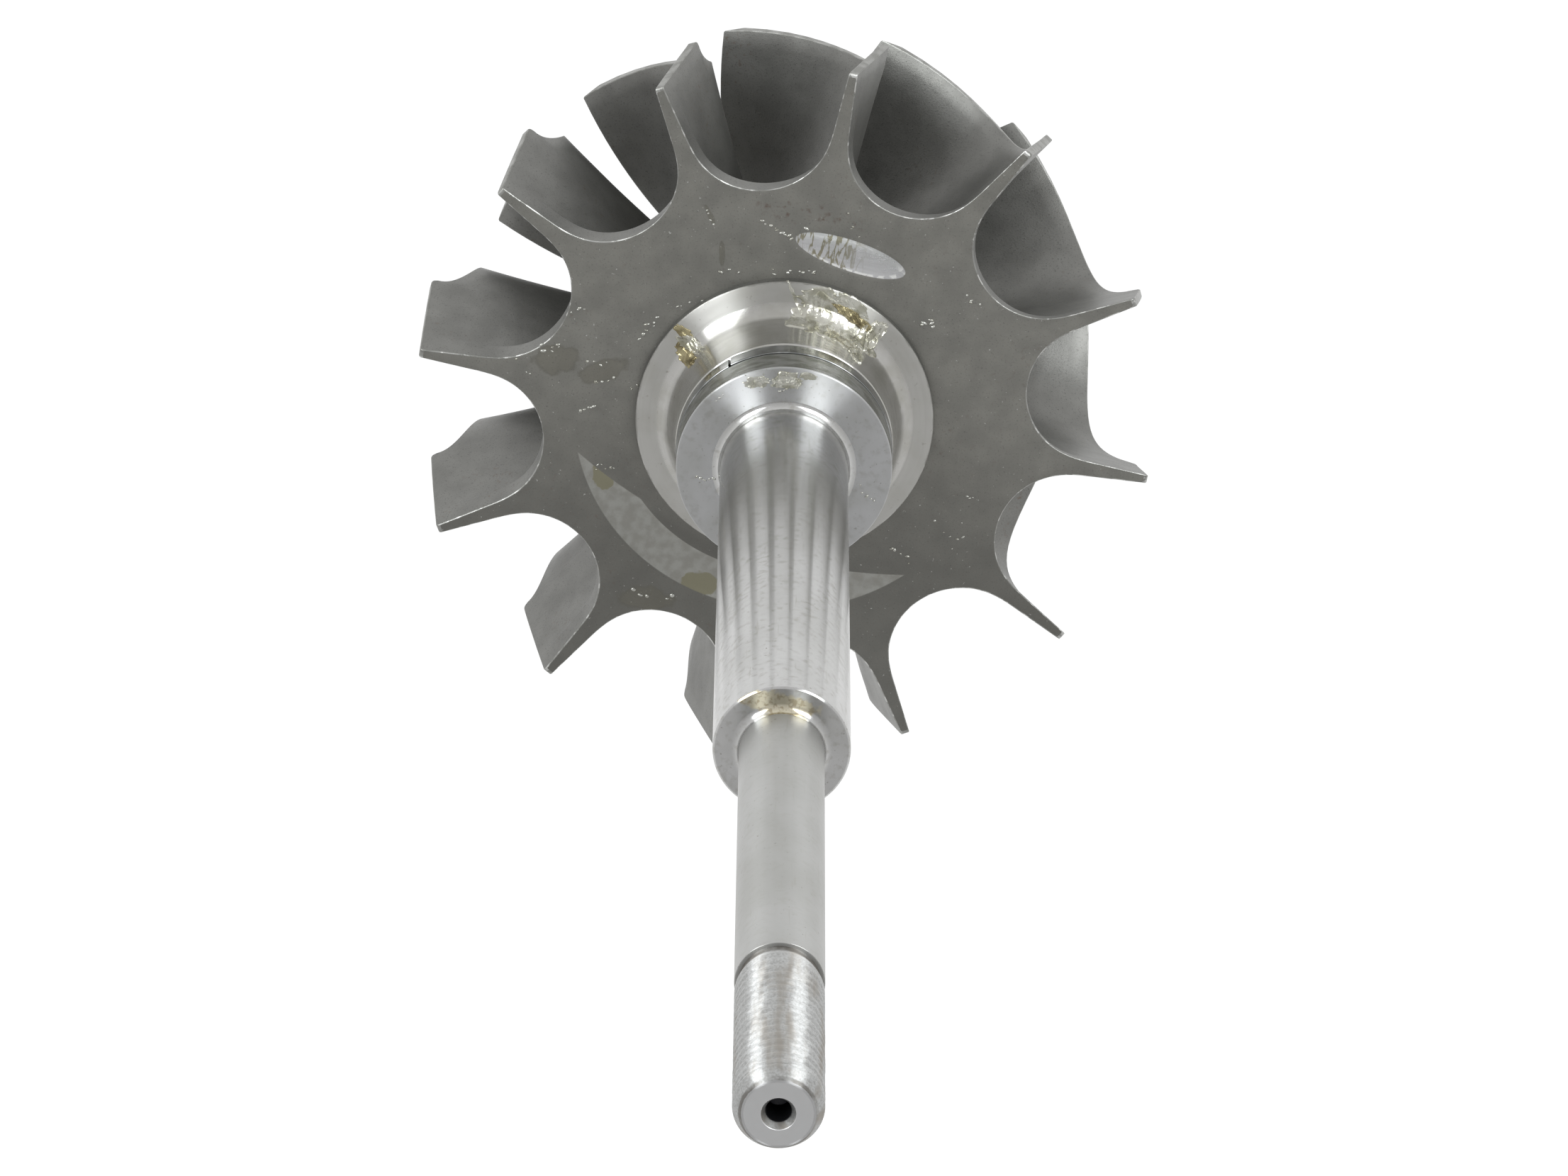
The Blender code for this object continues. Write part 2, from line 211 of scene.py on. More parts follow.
class Skin:
    """Grids of points that are welded into one closed surface."""

    def __init__(self) -> None:
        """Start with no grids."""
        self._points: list[Array] = []
        self._quads: list[Array] = []
        self._zones: list[Array] = []
        self._count = 0

    def add(self, grid: Array, zone: int | Array = 0, around: bool = False) -> None:
        """Add a grid of points and the quads between them.

        Args:
            grid: points as rows by columns by 3, in millimetres.
            zone: material index of all faces, or an array that spreads over them.
            around: whether the last column joins the first.
        """
        rows, columns = grid.shape[:2]
        index = np.arange(rows * columns).reshape(rows, columns) + self._count
        if around:
            index = np.concatenate([index, index[:, :1]], axis=1)
        corners = (index[:-1, :-1], index[:-1, 1:], index[1:, 1:], index[1:, :-1])
        quads = np.stack(corners, axis=-1)
        self._zones.append(np.broadcast_to(zone, quads.shape[:2]).reshape(-1))
        self._quads.append(quads.reshape(-1, 4))
        self._points.append(grid.reshape(-1, 3))
        self._count += rows * columns

    def build(self, name: str, lift: float) -> bpy.types.Object:
        """Weld the grids and put them in the scene as one object.

        Args:
            name: name of the new object and its mesh.
            lift: height of the back face above the floor, in millimetres.

        Returns:
            The object, at the origin, with its place in its mesh.
        """
        points = (np.concatenate(self._points) + (0.0, 0.0, lift)) * MM
        mesh = bpy.data.meshes.new(name)
        mesh.from_pydata(points.tolist(), [], np.concatenate(self._quads).tolist())
        mesh.polygons.foreach_set("material_index", np.concatenate(self._zones).astype(np.int32))
        shape = bmesh.new()
        shape.from_mesh(mesh)
        bmesh.ops.remove_doubles(shape, verts=shape.verts, dist=WELD_DISTANCE * MM)
        bmesh.ops.recalc_face_normals(shape, faces=shape.faces)
        shape.to_mesh(mesh)
        shape.free()
        mesh.shade_smooth()
        mesh.set_sharp_from_angle(angle=CREASE_ANGLE)
        piece = bpy.data.objects.new(name, mesh)
        bpy.context.scene.collection.objects.link(piece)
        return piece


def spin(profile: Array, columns: int) -> Array:
    """Grid of a profile of (radius, height) carried round the shaft's axis."""
    return polar(profile[:, 0, None], circle(columns), profile[:, 1, None])


def turned_piece(
    name: str, profile: Array, columns: int, lift: float, zones: int | Array = 0
) -> bpy.types.Object:
    """Closed piece that is turned from one profile.

    Args:
        name: name of the piece.
        profile: rows of (radius, height) that start and end on the shaft's axis.
        columns: number of points round the axis.
        lift: height of the back face above the floor, in millimetres.
        zones: material index of all faces, or a column with one for each row of faces.

    Returns:
        The piece.
    """
    skin = Skin()
    skin.add(spin(profile, columns), zones, around=True)
    return skin.build(name, lift)


def settle(
    piece: bpy.types.Object, slot: Slot, finishes: list[bpy.types.Material], *nodes: str
) -> bpy.types.Object:
    """Dress a finished piece and hand it to the frame.

    Args:
        piece: the finished object.
        slot: the record's material slot that the piece stands for; not used.
        finishes: materials in the order of the piece's zones.
        nodes: the CAD nodes that it stands for.

    Returns:
        The same piece.
    """
    for finish in finishes:
        piece.data.materials.append(finish)
    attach(piece, BODY)
    if nodes:
        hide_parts(*nodes)
    return piece


@dataclass(frozen=True)
class Datum:
    """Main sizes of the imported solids, in millimetres from the back face.

    The last two aren't the edge of a solid's box: where the drum's piece meets the journal's, and
    the journal's end face, which the thinner stub runs out of.
    """

    lift: float
    wheel_radius: float
    outlet_depth: float
    hexagon_depth: float
    nose_depth: float
    collar_radius: float
    collar_top: float
    drum_radius: float
    ring_rear: float
    ring_radius: float
    journal_radius: float
    stub_radius: float
    stub_top: float
    tip_height: float
    neck_top: float = 9.3
    journal_end: float = 50.4

    @classmethod
    def from_frame(cls) -> "Datum":
        """Read the sizes off the boxes of the CAD nodes."""

        def reach(node: str) -> float:
            """Outer radius of a node, in millimetres."""
            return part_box(node)[1].x / MM

        def top(node: str) -> float:
            """Height of a node's top above the floor, in millimetres."""
            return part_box(node)[1].z / MM

        def bottom(node: str) -> float:
            """Height of a node's bottom above the floor, in millimetres."""
            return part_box(node)[0].z / MM

        lift = top("back_disc")
        return cls(
            lift=lift,
            wheel_radius=reach("back_disc"),
            outlet_depth=lift - bottom("blade_01"),
            hexagon_depth=lift - top("nose_hex"),
            nose_depth=lift - bottom("nose_hex"),
            collar_radius=reach("hub_collar"),
            collar_top=top("hub_collar") - lift,
            drum_radius=reach("seal_boss"),
            ring_rear=bottom("seal_ring") - lift,
            ring_radius=reach("seal_ring"),
            journal_radius=reach("shaft_journal"),
            stub_radius=reach("shaft_stub"),
            stub_top=top("shaft_stub") - lift,
            tip_height=top("shaft_thread") - lift,
        )


# Marks on the back face


@dataclass(frozen=True)
class Oval:
    """An oval on a level face: its middle, its half sizes and its turn in radians."""

    x: float
    y: float
    half_length: float
    half_width: float
    turn: float = 0.0


@dataclass(frozen=True)
class ScoopMark(Oval):
    """Oval balance cut in the back face, ground bright."""

    x: float = 2.09
    y: float = 11.52
    half_length: float = 3.66
    half_width: float = 1.03
    turn: float = math.radians(-9.4)
    depth: float = 0.14

    def sink(self, x: Array, y: Array) -> Array:
        """Depth of the cut: d (1 - e^4), where e is 0 in the middle and 1 on the oval."""
        across, up = x - self.x, y - self.y
        along = across * math.cos(self.turn) + up * math.sin(self.turn)
        aside = up * math.cos(self.turn) - across * math.sin(self.turn)
        share = (along / self.half_length) ** 2 + (aside / self.half_width) ** 2
        return self.depth * np.clip(1 - share**2, 0, 1)


@dataclass(frozen=True)
class CrescentMark:
    """Crescent ground in the back face by a large wheel that was stopped short of the flare."""

    outer_radius: float = 13.4
    stop_radius: float = 10.75
    cut_radius: float = 30.4
    cut_offset: float = 21.05
    azimuth: float = math.radians(78.3)
    depth: float = 0.09
    slope: float = 0.35
    stop_slope: float = 0.12

    def centre(self) -> tuple[float, float]:
        """Centre of the circle that the grinding cut follows."""
        return (
            self.cut_offset * math.cos(self.azimuth),
            self.cut_offset * math.sin(self.azimuth),
        )

    def sink(self, x: Array, y: Array) -> Array:
        """Depth of the cut: its full depth, eased in over a slope from each of its three edges.

        It lies within the outer radius, beyond the stop and outside the cut's circle.
        """
        x0, y0 = self.centre()
        radius = np.hypot(x, y)
        inside = smooth((self.outer_radius - radius) / self.slope)
        beyond = smooth((radius - self.stop_radius) / self.stop_slope)
        outside = smooth((np.hypot(x - x0, y - y0) - self.cut_radius) / self.slope)
        return self.depth * inside * beyond * outside


# Materials


@dataclass(frozen=True)
class Patches:
    """Scattered patches of noise.

    The rate is in features per millimetre and the detail in octaves. Where the noise passes
    begin the patch starts, and at full it is whole. The offset picks a slice of the noise, and
    the stretch multiplies the place along each axis.
    """

    rate: float
    detail: float
    begin: float
    full: float
    offset: float = 0.0
    stretch: tuple[float, float, float] | None = None


class NodeBench:
    """One material's nodes, with the place on the piece in millimetres from the back face."""

    def __init__(self, name: str, lift: float) -> None:
        """Make the material and its coordinates.

        Args:
            name: name of the material.
            lift: height of the back face above the floor, in millimetres.
        """
        self.material = bpy.data.materials.new(name)
        self.material.use_nodes = True
        self.tree = self.material.node_tree
        self.shader = self.tree.nodes["Principled BSDF"]
        coordinates = self.tree.nodes.new("ShaderNodeTexCoord")
        self.place = self.node(
            "ShaderNodeMapping",
            {
                "Vector": coordinates.outputs["Object"],
                "Location": (0.0, 0.0, -lift),
                "Scale": (1 / MM, 1 / MM, 1 / MM),
            },
        ).outputs["Vector"]
        self.flat = self.scaled(1.0, 1.0, 0.0)
        self.radius = self.vector("LENGTH", self.flat)
        split = self.node("ShaderNodeSeparateXYZ", {"Vector": self.place})
        self.x, self.y, self.height = split.outputs
        self.heading = self.vector("NORMALIZE", self.flat)

    def node(
        self, kind: str, inputs: dict[str | int, object], **settings: object
    ) -> bpy.types.Node:
        """Add a node, set its options and feed its inputs.

        Args:
            kind: the node's type name.
            inputs: a value or a socket for each named or numbered input.
            settings: the node's own options.

        Returns:
            The new node.
        """
        made = self.tree.nodes.new(kind)
        for option, value in settings.items():
            setattr(made, option, value)
        for key, value in inputs.items():
            if isinstance(value, bpy.types.NodeSocket):
                self.tree.links.new(value, made.inputs[key])
            else:
                made.inputs[key].default_value = value
        return made

    def math(self, operation: str, *values: Socket | float) -> Socket:
        """Result of one Math node."""
        made = self.node("ShaderNodeMath", dict(enumerate(values)), operation=operation)
        return made.outputs["Value"]

    def times(self, product: Socket, *factors: Socket | float) -> Socket:
        """Product of a number and any further factors."""
        for factor in factors:
            product = self.math("MULTIPLY", product, factor)
        return product

    def plus(self, first: Socket, second: Socket) -> Socket:
        """Sum of two numbers."""
        return self.math("ADD", first, second)

    def vector(self, operation: str, *values: Socket | tuple[float, ...]) -> Socket:
        """Result of one Vector Math node, a number for a length or a vector otherwise."""
        inputs = dict(enumerate(values))
        made = self.node("ShaderNodeVectorMath", inputs, operation=operation)
        return made.outputs["Value" if operation in ("LENGTH", "DISTANCE") else "Vector"]

    def scaled(self, x: float, y: float, z: float) -> Socket:
        """The place, multiplied by a rate for each axis."""
        return self.vector("MULTIPLY", self.place, (x, y, z))

    def noise(
        self, rate: float, detail: float = 3.0, where: Socket | None = None, offset: float = 0.0
    ) -> Socket:
        """Cloudy noise between 0 and 1.

        Args:
            rate: features per millimetre.
            detail: octaves of finer noise.
            where: coordinates, or the place itself.
            offset: slice of the noise, so that two noises differ.

        Returns:
            The noise's value.
        """
        made = self.node(
            "ShaderNodeTexNoise",
            {"Vector": where or self.place, "W": offset, "Scale": rate, "Detail": detail},
            noise_dimensions="4D",
        )
        return made.outputs["Fac"]

    def patches(self, kind: Patches) -> Socket:
        """Patches of one kind: 1 on them and 0 between them."""
        where = self.scaled(*kind.stretch) if kind.stretch else None
        cloud = self.noise(kind.rate, kind.detail, where, kind.offset)
        return self.step(cloud, kind.begin, kind.full)

    def turning_marks(self, rate: float, around: float = 1.5, detail: float = 2.0) -> Socket:
        """Fine lines round the axis, as a tool leaves them on faces, cones and cylinders.

        Args:
            rate: lines per millimetre.
            around: how often a line changes on its way round.
            detail: octaves of finer lines.

        Returns:
            The height of the lines, between 0 and 1.
        """
        slow = self.vector("MULTIPLY", self.heading, (around, around, 0.0))
        rise = self.node("ShaderNodeCombineXYZ", {"Z": self.times(self.height, rate)})
        where = self.vector("ADD", slow, rise.outputs["Vector"])
        return self.noise(1.0, detail, where, self.times(self.radius, rate))

    def step(self, value: Socket, low: float, high: float) -> Socket:
        """Ease from 0 to 1 while value goes from low to high, or back if low is the larger."""
        made = self.node(
            "ShaderNodeMapRange",
            {"Value": value, "From Min": low, "From Max": high},
            interpolation_type="SMOOTHSTEP",
        )
        return made.outputs["Result"]

    def lerp(self, factor: Socket, low: float, high: float) -> Socket:
        """Number that goes from low to high as factor goes from 0 to 1."""
        made = self.node("ShaderNodeMapRange", {"Value": factor, "To Min": low, "To Max": high})
        return made.outputs["Result"]

    def blend(self, factor: Socket, base: Socket | Colour, over: Socket | Colour) -> Socket:
        """Colour that goes from base to over as factor goes from 0 to 1."""
        inputs = {0: factor}
        for key, value in ((6, base), (7, over)):
            inputs[key] = (*value, 1.0) if isinstance(value, tuple) else value
        made = self.node("ShaderNodeMix", inputs, data_type="RGBA")
        return made.outputs[2]

    def cover(
        self, base: Socket | Colour, over: Socket | Colour, *masks: Socket | float
    ) -> Socket:
        """Colour with another laid over it, as far as the product of all masks."""
        return self.blend(self.times(*masks), base, over)

    def oval(self, place: Oval) -> Socket:
        """Share of the way from the middle of an oval on the back face to its edge."""
        made = self.node(
            "ShaderNodeMapping",
            {
                "Vector": self.flat,
                "Location": (place.x, place.y, 0.0),
                "Rotation": (0.0, 0.0, place.turn),
                "Scale": (place.half_length, place.half_width, 1.0),
            },
            vector_type="TEXTURE",
        )
        return self.vector("LENGTH", made.outputs["Vector"])

    def bump(self, height: Socket, relief: float, base: Socket | None = None) -> Socket:
        """Relief in the shading, its full height in millimetres, on top of a base relief."""
        inputs = {"Height": height, "Distance": relief * MM}
        if base is not None:
            inputs["Normal"] = base
        return self.node("ShaderNodeBump", inputs).outputs["Normal"]

    def finish(
        self,
        colour: Socket,
        roughness: Socket,
        normal: Socket,
        metallic: float = 1.0,
        anisotropic: float = 0.0,
    ) -> bpy.types.Material:
        """Join the shader's main inputs.

        Args:
            colour: base colour.
            roughness: roughness.
            normal: shading relief.
            metallic: metal share.
            anisotropic: stretch of the highlights, across marks that run round the axis.

        Returns:
            The finished material.
        """
        links, inputs = self.tree.links, self.shader.inputs
        links.new(colour, inputs["Base Color"])
        links.new(roughness, inputs["Roughness"])
        links.new(normal, inputs["Normal"])
        inputs["Metallic"].default_value = metallic
        if anisotropic:
            inputs["Anisotropic"].default_value = anisotropic
            inputs["Anisotropic Rotation"].default_value = QUARTER_TURN
            tangent = self.node("ShaderNodeTangent", {}, direction_type="RADIAL", axis="Z")
            links.new(tangent.outputs["Tangent"], inputs["Tangent"])
        return self.material


@dataclass(frozen=True)
class CastSkin:
    """Dark grey investment-cast skin with fine grain and rust specks."""

    lift: float
    pale: Colour = (0.205, 0.204, 0.192)
    dark: Colour = (0.165, 0.164, 0.154)
    pit: Colour = (0.095, 0.094, 0.088)
    rust: Colour = (0.14, 0.115, 0.095)
    clouds: Patches = Patches(0.45, 6.0, 0.30, 0.70)
    rusty_parts: Patches = Patches(0.16, 2.0, 0.50, 0.68, 3.0)
    rust_specks: Patches = Patches(3.2, 5.0, 0.56, 0.74, 4.0)
    pits: Range = (0.54, 0.74)
    pit_share: float = 0.8
    roughness: Range = (0.38, 0.50)
    grain_relief: float = 0.008
    wave_relief: float = 0.016

    def material(self) -> bpy.types.Material:
        """Skin with faint clouds of two greys, fine pits and rust specks."""
        bench = NodeBench("cast_skin", self.lift)
        grain = bench.noise(9.0, 4.0)
        colour = bench.blend(bench.patches(self.clouds), self.dark, self.pale)
        colour = bench.cover(colour, self.pit, bench.step(grain, *self.pits), self.pit_share)
        specks = bench.patches(self.rust_specks)
        colour = bench.cover(colour, self.rust, specks, bench.patches(self.rusty_parts))
        roughness = bench.lerp(bench.noise(1.2, 4.0, offset=8.0), *self.roughness)
        waves = bench.bump(bench.noise(0.9, 3.0, offset=2.0), self.wave_relief)
        normal = bench.bump(grain, self.grain_relief, waves)
        return bench.finish(colour, roughness, normal, metallic=0.85)


@dataclass(frozen=True)
class BackFaceFinish:
    """Blasted back face with the two ground balance marks, puddles of old oil, and rust."""

    lift: float
    scoop: ScoopMark
    crescent: CrescentMark
    pale: Colour = (0.230, 0.226, 0.205)
    dark: Colour = (0.187, 0.184, 0.168)
    pit: Colour = (0.11, 0.108, 0.099)
    glint: Colour = (0.42, 0.42, 0.40)
    rust: Colour = (0.135, 0.105, 0.09)
    oil: Colour = (0.165, 0.155, 0.115)
    ground: Colour = (0.60, 0.60, 0.61)
    dull_ground: Colour = (0.45, 0.45, 0.45)
    crack: Colour = (0.24, 0.22, 0.15)
    # painted highlight on the burrs along the scoop's lower rim
    burr_highlight: Colour = (0.80, 0.80, 0.78)
    matte_ground: Colour = (0.318, 0.318, 0.297)
    stained_ground: Colour = (0.266, 0.262, 0.24)
    olive: Colour = (0.225, 0.215, 0.155)
    clouds: Patches = Patches(0.5, 6.0, 0.30, 0.70)
    glints: Patches = Patches(5.5, 2.0, 0.69, 0.76, 3.0)
    rust_specks: Patches = Patches(2.6, 5.0, 0.56, 0.74, 5.0)
    rusty_parts: Patches = Patches(0.2, 2.0, 0.45, 0.65, 2.0)
    row_specks: Patches = Patches(2.2, 5.0, 0.52, 0.72, 1.5)
    burr_highlights: Patches = Patches(2.8, 3.0, 0.46, 0.54, 4.5)
    rust_row: Oval = Oval(-1.0, 13.7, 4.6, 1.1, math.radians(-3))
    ground_stains: tuple[Oval, ...] = (
        Oval(-3.2, -12.4, 1.6, 0.9, 0.2),
        Oval(-10.6, -6.2, 0.8, 1.1, 0.4),
    )
    puddles: tuple[Oval, ...] = (
        Oval(-14.85, 1.2, 1.5, 1.0, 0.3),
        Oval(-6.42, -14.0, 1.9, 0.9, 0.1),
        Oval(-11.9, 1.0, 1.8, 0.7, 0.5),
        Oval(-7.1, 12.6, 0.16, 0.8, 0.6),
        Oval(-5.9, 10.2, 0.2, 0.9, 0.2),
    )
    pits: Range = (0.54, 0.76)
    pit_share: float = 0.8
    # painted shade: the skin darkens towards one side of the face, over this range of y and by
    # this share
    shaded_side: Range = (4.0, -12.0)
    shade_share: float = 0.58
    puddle_share: float = 0.3
    # share of the painted shade between the crescent and the flare
    gap_shade_share: float = 0.4
    crack_share: float = 0.9
    roughness: Range = (0.42, 0.54)
    grain_relief: float = 0.008
    wave_relief: float = 0.012

    def material(self) -> bpy.types.Material:
        """Skin with painted shade towards one side, then stains, then the two ground marks on
        top.
        """
        bench = NodeBench("back_face", self.lift)
        grain = bench.noise(8.0, 4.0)
        colour = bench.blend(bench.patches(self.clouds), self.dark, self.pale)
        colour = bench.cover(colour, self.pit, bench.step(grain, *self.pits), self.pit_share)
        # painted shade, darker towards one side of the face
        shaded = bench.step(bench.y, *self.shaded_side)
        colour = bench.cover(colour, self.pit, shaded, self.shade_share)
        colour = bench.cover(colour, self.glint, bench.patches(self.glints))
        colour, wet = self._stains(bench, colour)
        roughness = bench.lerp(bench.noise(1.5, 4.0, offset=6.0), *self.roughness)
        roughness = bench.times(roughness, bench.lerp(wet, 1.0, 0.6))
        fine = bench.bump(grain, self.grain_relief)
        normal = bench.bump(bench.noise(1.6, 3.0, offset=1.0), self.wave_relief, fine)
        colour, roughness = self._crescent(bench, colour, roughness)
        colour, roughness = self._scoop(bench, colour, roughness)
        return bench.finish(colour, roughness, normal, metallic=0.9)

    def _stains(self, bench: NodeBench, colour: Socket) -> tuple[Socket, Socket]:
        """Rust specks, thickest in a row above the scoop, and thin puddles of old oil.

        Args:
            bench: the material's nodes.
            colour: colour of the skin.

        Returns:
            The colour, and how wet each place is.
        """
        ragged = bench.noise(1.3, 5.0, offset=9.0)
        spread = bench.lerp(bench.patches(self.rusty_parts), 0.05, 0.5)
        colour = bench.cover(colour, self.rust, bench.patches(self.rust_specks), spread)
        row = bench.step(bench.plus(bench.oval(self.rust_row), ragged), 1.45, 0.95)
        colour = bench.cover(colour, self.rust, row, bench.patches(self.row_specks))
        wet = None
        for puddle in self.puddles:
            edge = bench.plus(bench.oval(puddle), ragged)
            pool = bench.step(edge, 1.58, 1.30)
            rim = bench.times(pool, bench.step(edge, 1.24, 1.42))
            colour = bench.cover(colour, self.oil, pool, self.puddle_share)
            colour = bench.cover(colour, self.pit, rim, self.puddle_share)
            wet = pool if wet is None else bench.math("MAXIMUM", wet, pool)
        return colour, wet

    def _crescent(
        self, bench: NodeBench, colour: Socket, roughness: Socket
    ) -> tuple[Socket, Socket]:
        """Colour and roughness with the matte light crescent.

        It is stained olive in two places, and painted shade lies between it and the flare.
        """
        mark = self.crescent
        edge, stop, rim = mark.outer_radius, mark.stop_radius, mark.cut_radius
        distance = bench.vector("DISTANCE", bench.flat, (*mark.centre(), 0.0))
        # painted shade in the gap between the crescent and the flare's foot
        near = bench.step(bench.radius, stop + 0.1, stop)
        gap_shade = bench.step(distance, rim, rim + 0.8)
        colour = bench.cover(colour, self.pit, gap_shade, near, self.gap_shade_share)
        mottled = bench.noise(1.6, 5.0, offset=7.0)
        tone = bench.step(mottled, 0.36, 0.64)
        ground = bench.blend(tone, self.matte_ground, self.stained_ground)
        for place in self.ground_stains:
            stain = bench.plus(bench.oval(place), mottled)
            ground = bench.cover(ground, self.olive, bench.step(stain, 1.42, 1.30))
        inside = bench.step(bench.radius, edge, edge - 0.08)
        outside = bench.step(distance, rim, rim + 0.08)
        mask = bench.times(inside, outside, bench.step(bench.radius, stop, stop + 0.06))
        return bench.cover(colour, ground, mask), bench.plus(roughness, bench.times(mask, -0.03))

    def _scoop(
        self, bench: NodeBench, colour: Socket, roughness: Socket
    ) -> tuple[Socket, Socket]:
        """Colour and roughness with the bright oval.

        Grinding lines run along it, olive cracks cross one half, and burrs on its lower edge
        carry painted highlights.
        """
        share = bench.oval(self.scoop)
        mask = bench.step(share, 1.01, 0.98)
        lines = bench.noise(1.0, 3.0, bench.scaled(0.7, 6.0, 1.0))
        steel = bench.blend(lines, self.ground, self.dull_ground)
        ridge = bench.noise(0.75, 3.0, bench.scaled(2.4, 0.7, 1.0), 2.5)
        ridge = bench.math("ABSOLUTE", bench.math("SUBTRACT", ridge, 0.5))
        crack, half = bench.step(ridge, 0.045, 0.012), bench.step(bench.x, 3.6, 1.2)
        steel = bench.cover(steel, self.crack, crack, half, self.crack_share)
        # painted highlights on the burrs along the oval's lower rim
        rim = bench.step(share, 0.84, 0.92)
        lower = bench.step(bench.y, self.scoop.y + 0.1, self.scoop.y - 0.6)
        steel = bench.cover(steel, self.burr_highlight, rim, lower, bench.patches(self.burr_highlights))
        smoothing = bench.times(mask, bench.lerp(lines, -0.24, -0.14))
        return bench.cover(colour, steel, mask), bench.plus(roughness, smoothing)


@dataclass(frozen=True)
class TurnedRim:
    """Blade edges, turned and ground, worn bright in short dashes."""

    lift: float
    pale: Colour = (0.31, 0.31, 0.295)
    dark: Colour = (0.21, 0.21, 0.195)
    worn: Colour = (0.52, 0.52, 0.50)
    grime: Patches = Patches(1.1, 4.0, 0.40, 0.62)
    dashes: Patches = Patches(1.6, 4.0, 0.52, 0.60, 3.0)
    roughness: Range = (0.30, 0.48)

    def material(self) -> bpy.types.Material:
        """Fine lines along the rim, with grime between them and bright dashes."""
        bench = NodeBench("turned_rim", self.lift)
        lines = bench.turning_marks(14.0, 3.0)
        colour = bench.blend(bench.patches(self.grime), self.pale, self.dark)
        edge = bench.step(bench.height, -0.14, -0.06)
        colour = bench.cover(colour, self.worn, bench.patches(self.dashes), edge)
        roughness = bench.lerp(lines, *self.roughness)
        return bench.finish(colour, roughness, bench.bump(lines, 0.004), metallic=0.95)


@dataclass(frozen=True)
class TurnedAlloy:
    """Flare that was turned with the casting: a polished neck, then a dull outer ring."""

    lift: float
    crease_radius: float
    foot_radius: float
    pale: Colour = (0.50, 0.495, 0.475)
    dark: Colour = (0.43, 0.425, 0.395)
    matte: Colour = (0.66, 0.655, 0.625)
    pit: Colour = (0.20, 0.18, 0.14)
    cast: Colour = (0.25, 0.245, 0.225)
    haze: Patches = Patches(0.6, 6.0, 0.40, 0.66, 3.0)
    pits: Patches = Patches(3.4, 4.0, 0.62, 0.80, 5.0)
    matte_share: float = 0.5
    pit_share: float = 0.5
    cast_share: float = 0.7
    roughness: Range = (0.20, 0.36)
    line_roughness: Range = (-0.05, 0.06)

    def material(self) -> bpy.types.Material:
        """Tool rings, a warm haze of old oil, pits, and a ragged outer edge left as cast."""
        bench = NodeBench("turned_alloy", self.lift)
        rings = bench.turning_marks(8.0, 1.2)
        colour = bench.blend(bench.patches(self.haze), self.pale, self.dark)
        outer = bench.step(bench.radius, self.crease_radius - 0.08, self.crease_radius + 0.08)
        colour = bench.cover(colour, self.matte, outer, self.matte_share)
        colour = bench.cover(colour, self.pit, bench.patches(self.pits), self.pit_share)
        ragged = bench.times(bench.noise(1.2, 5.0, offset=7.0), 0.3)
        edge = bench.plus(bench.radius, ragged)
        raw = bench.step(edge, self.foot_radius + 0.04, self.foot_radius + 0.14)
        colour = bench.cover(colour, self.cast, raw, self.cast_share)
        base = bench.lerp(outer, *self.roughness)
        roughness = bench.plus(base, bench.lerp(rings, *self.line_roughness))
        swells = bench.bump(bench.turning_marks(1.6, 0.5, 1.0), 0.03)
        normal = bench.bump(rings, 0.002, swells)
        return bench.finish(colour, roughness, normal, anisotropic=1.0)


class Grind(Enum):
    """How fine a part of the shaft is ground: roughness, line relief and lines per millimetre."""

    FINE = (0.36, 0.0010, 12.0)
    WORN = (0.18, 0.0012, 12.0)
    SATIN = (0.34, 0.0020, 14.0)


@dataclass(frozen=True)
class GroundSteel:
    """Ground shaft steel, from the drum to the satin stub."""

    lift: float
    name: str
    grind: Grind
    pale: Colour
    dark: Colour
    stain: Colour = (0.30, 0.29, 0.25)
    speck: Colour = (0.16, 0.15, 0.12)
    bands: Patches = Patches(1.0, 2.0, 0.35, 0.65, stretch=(0.3, 0.3, 0.12))
    specks: Patches = Patches(4.5, 3.0, 0.66, 0.74, 2.0)
    long_streaks: Patches = Patches(1.0, 3.0, 0.63, 0.71, 4.0, (5.0, 5.0, 0.35))
    cross_streaks: Patches = Patches(1.0, 3.0, 0.63, 0.71, 8.0, (0.8, 0.8, 4.0))
    stain_share: float = 0.4
    speck_share: float = 0.7
    streak_share: float = 0.25
    anisotropic: float = 0.8
    metallic: float = 1.0

    def material(self) -> bpy.types.Material:
        """Lines round the shaft, slow bands of tone, faint stains, specks and streaks."""
        bench = NodeBench(self.name, self.lift)
        base, relief, rate = self.grind.value
        lines = bench.turning_marks(rate, 2.0)
        colour = bench.blend(bench.patches(self.bands), self.pale, self.dark)
        mottle = bench.noise(2.2, 5.0, offset=6.0)
        colour = bench.cover(colour, self.stain, bench.step(mottle, 0.50, 0.72), self.stain_share)
        colour = bench.cover(colour, self.speck, bench.patches(self.specks), self.speck_share)
        for streaks in (self.long_streaks, self.cross_streaks):
            colour = bench.cover(colour, self.stain, bench.patches(streaks), self.streak_share)
        rough = bench.lerp(mottle, base - 0.04, base + 0.05)
        roughness = bench.plus(rough, bench.lerp(lines, -0.02, 0.03))
        colour, roughness = self.dressed(bench, colour, roughness)
        normal = bench.bump(lines, relief)
        return bench.finish(colour, roughness, normal, self.metallic, self.anisotropic)

    def dressed(
        self, bench: NodeBench, colour: Socket, roughness: Socket
    ) -> tuple[Socket, Socket]:
        """Colour and roughness with what is special on one part of the shaft, none here."""
        return colour, roughness


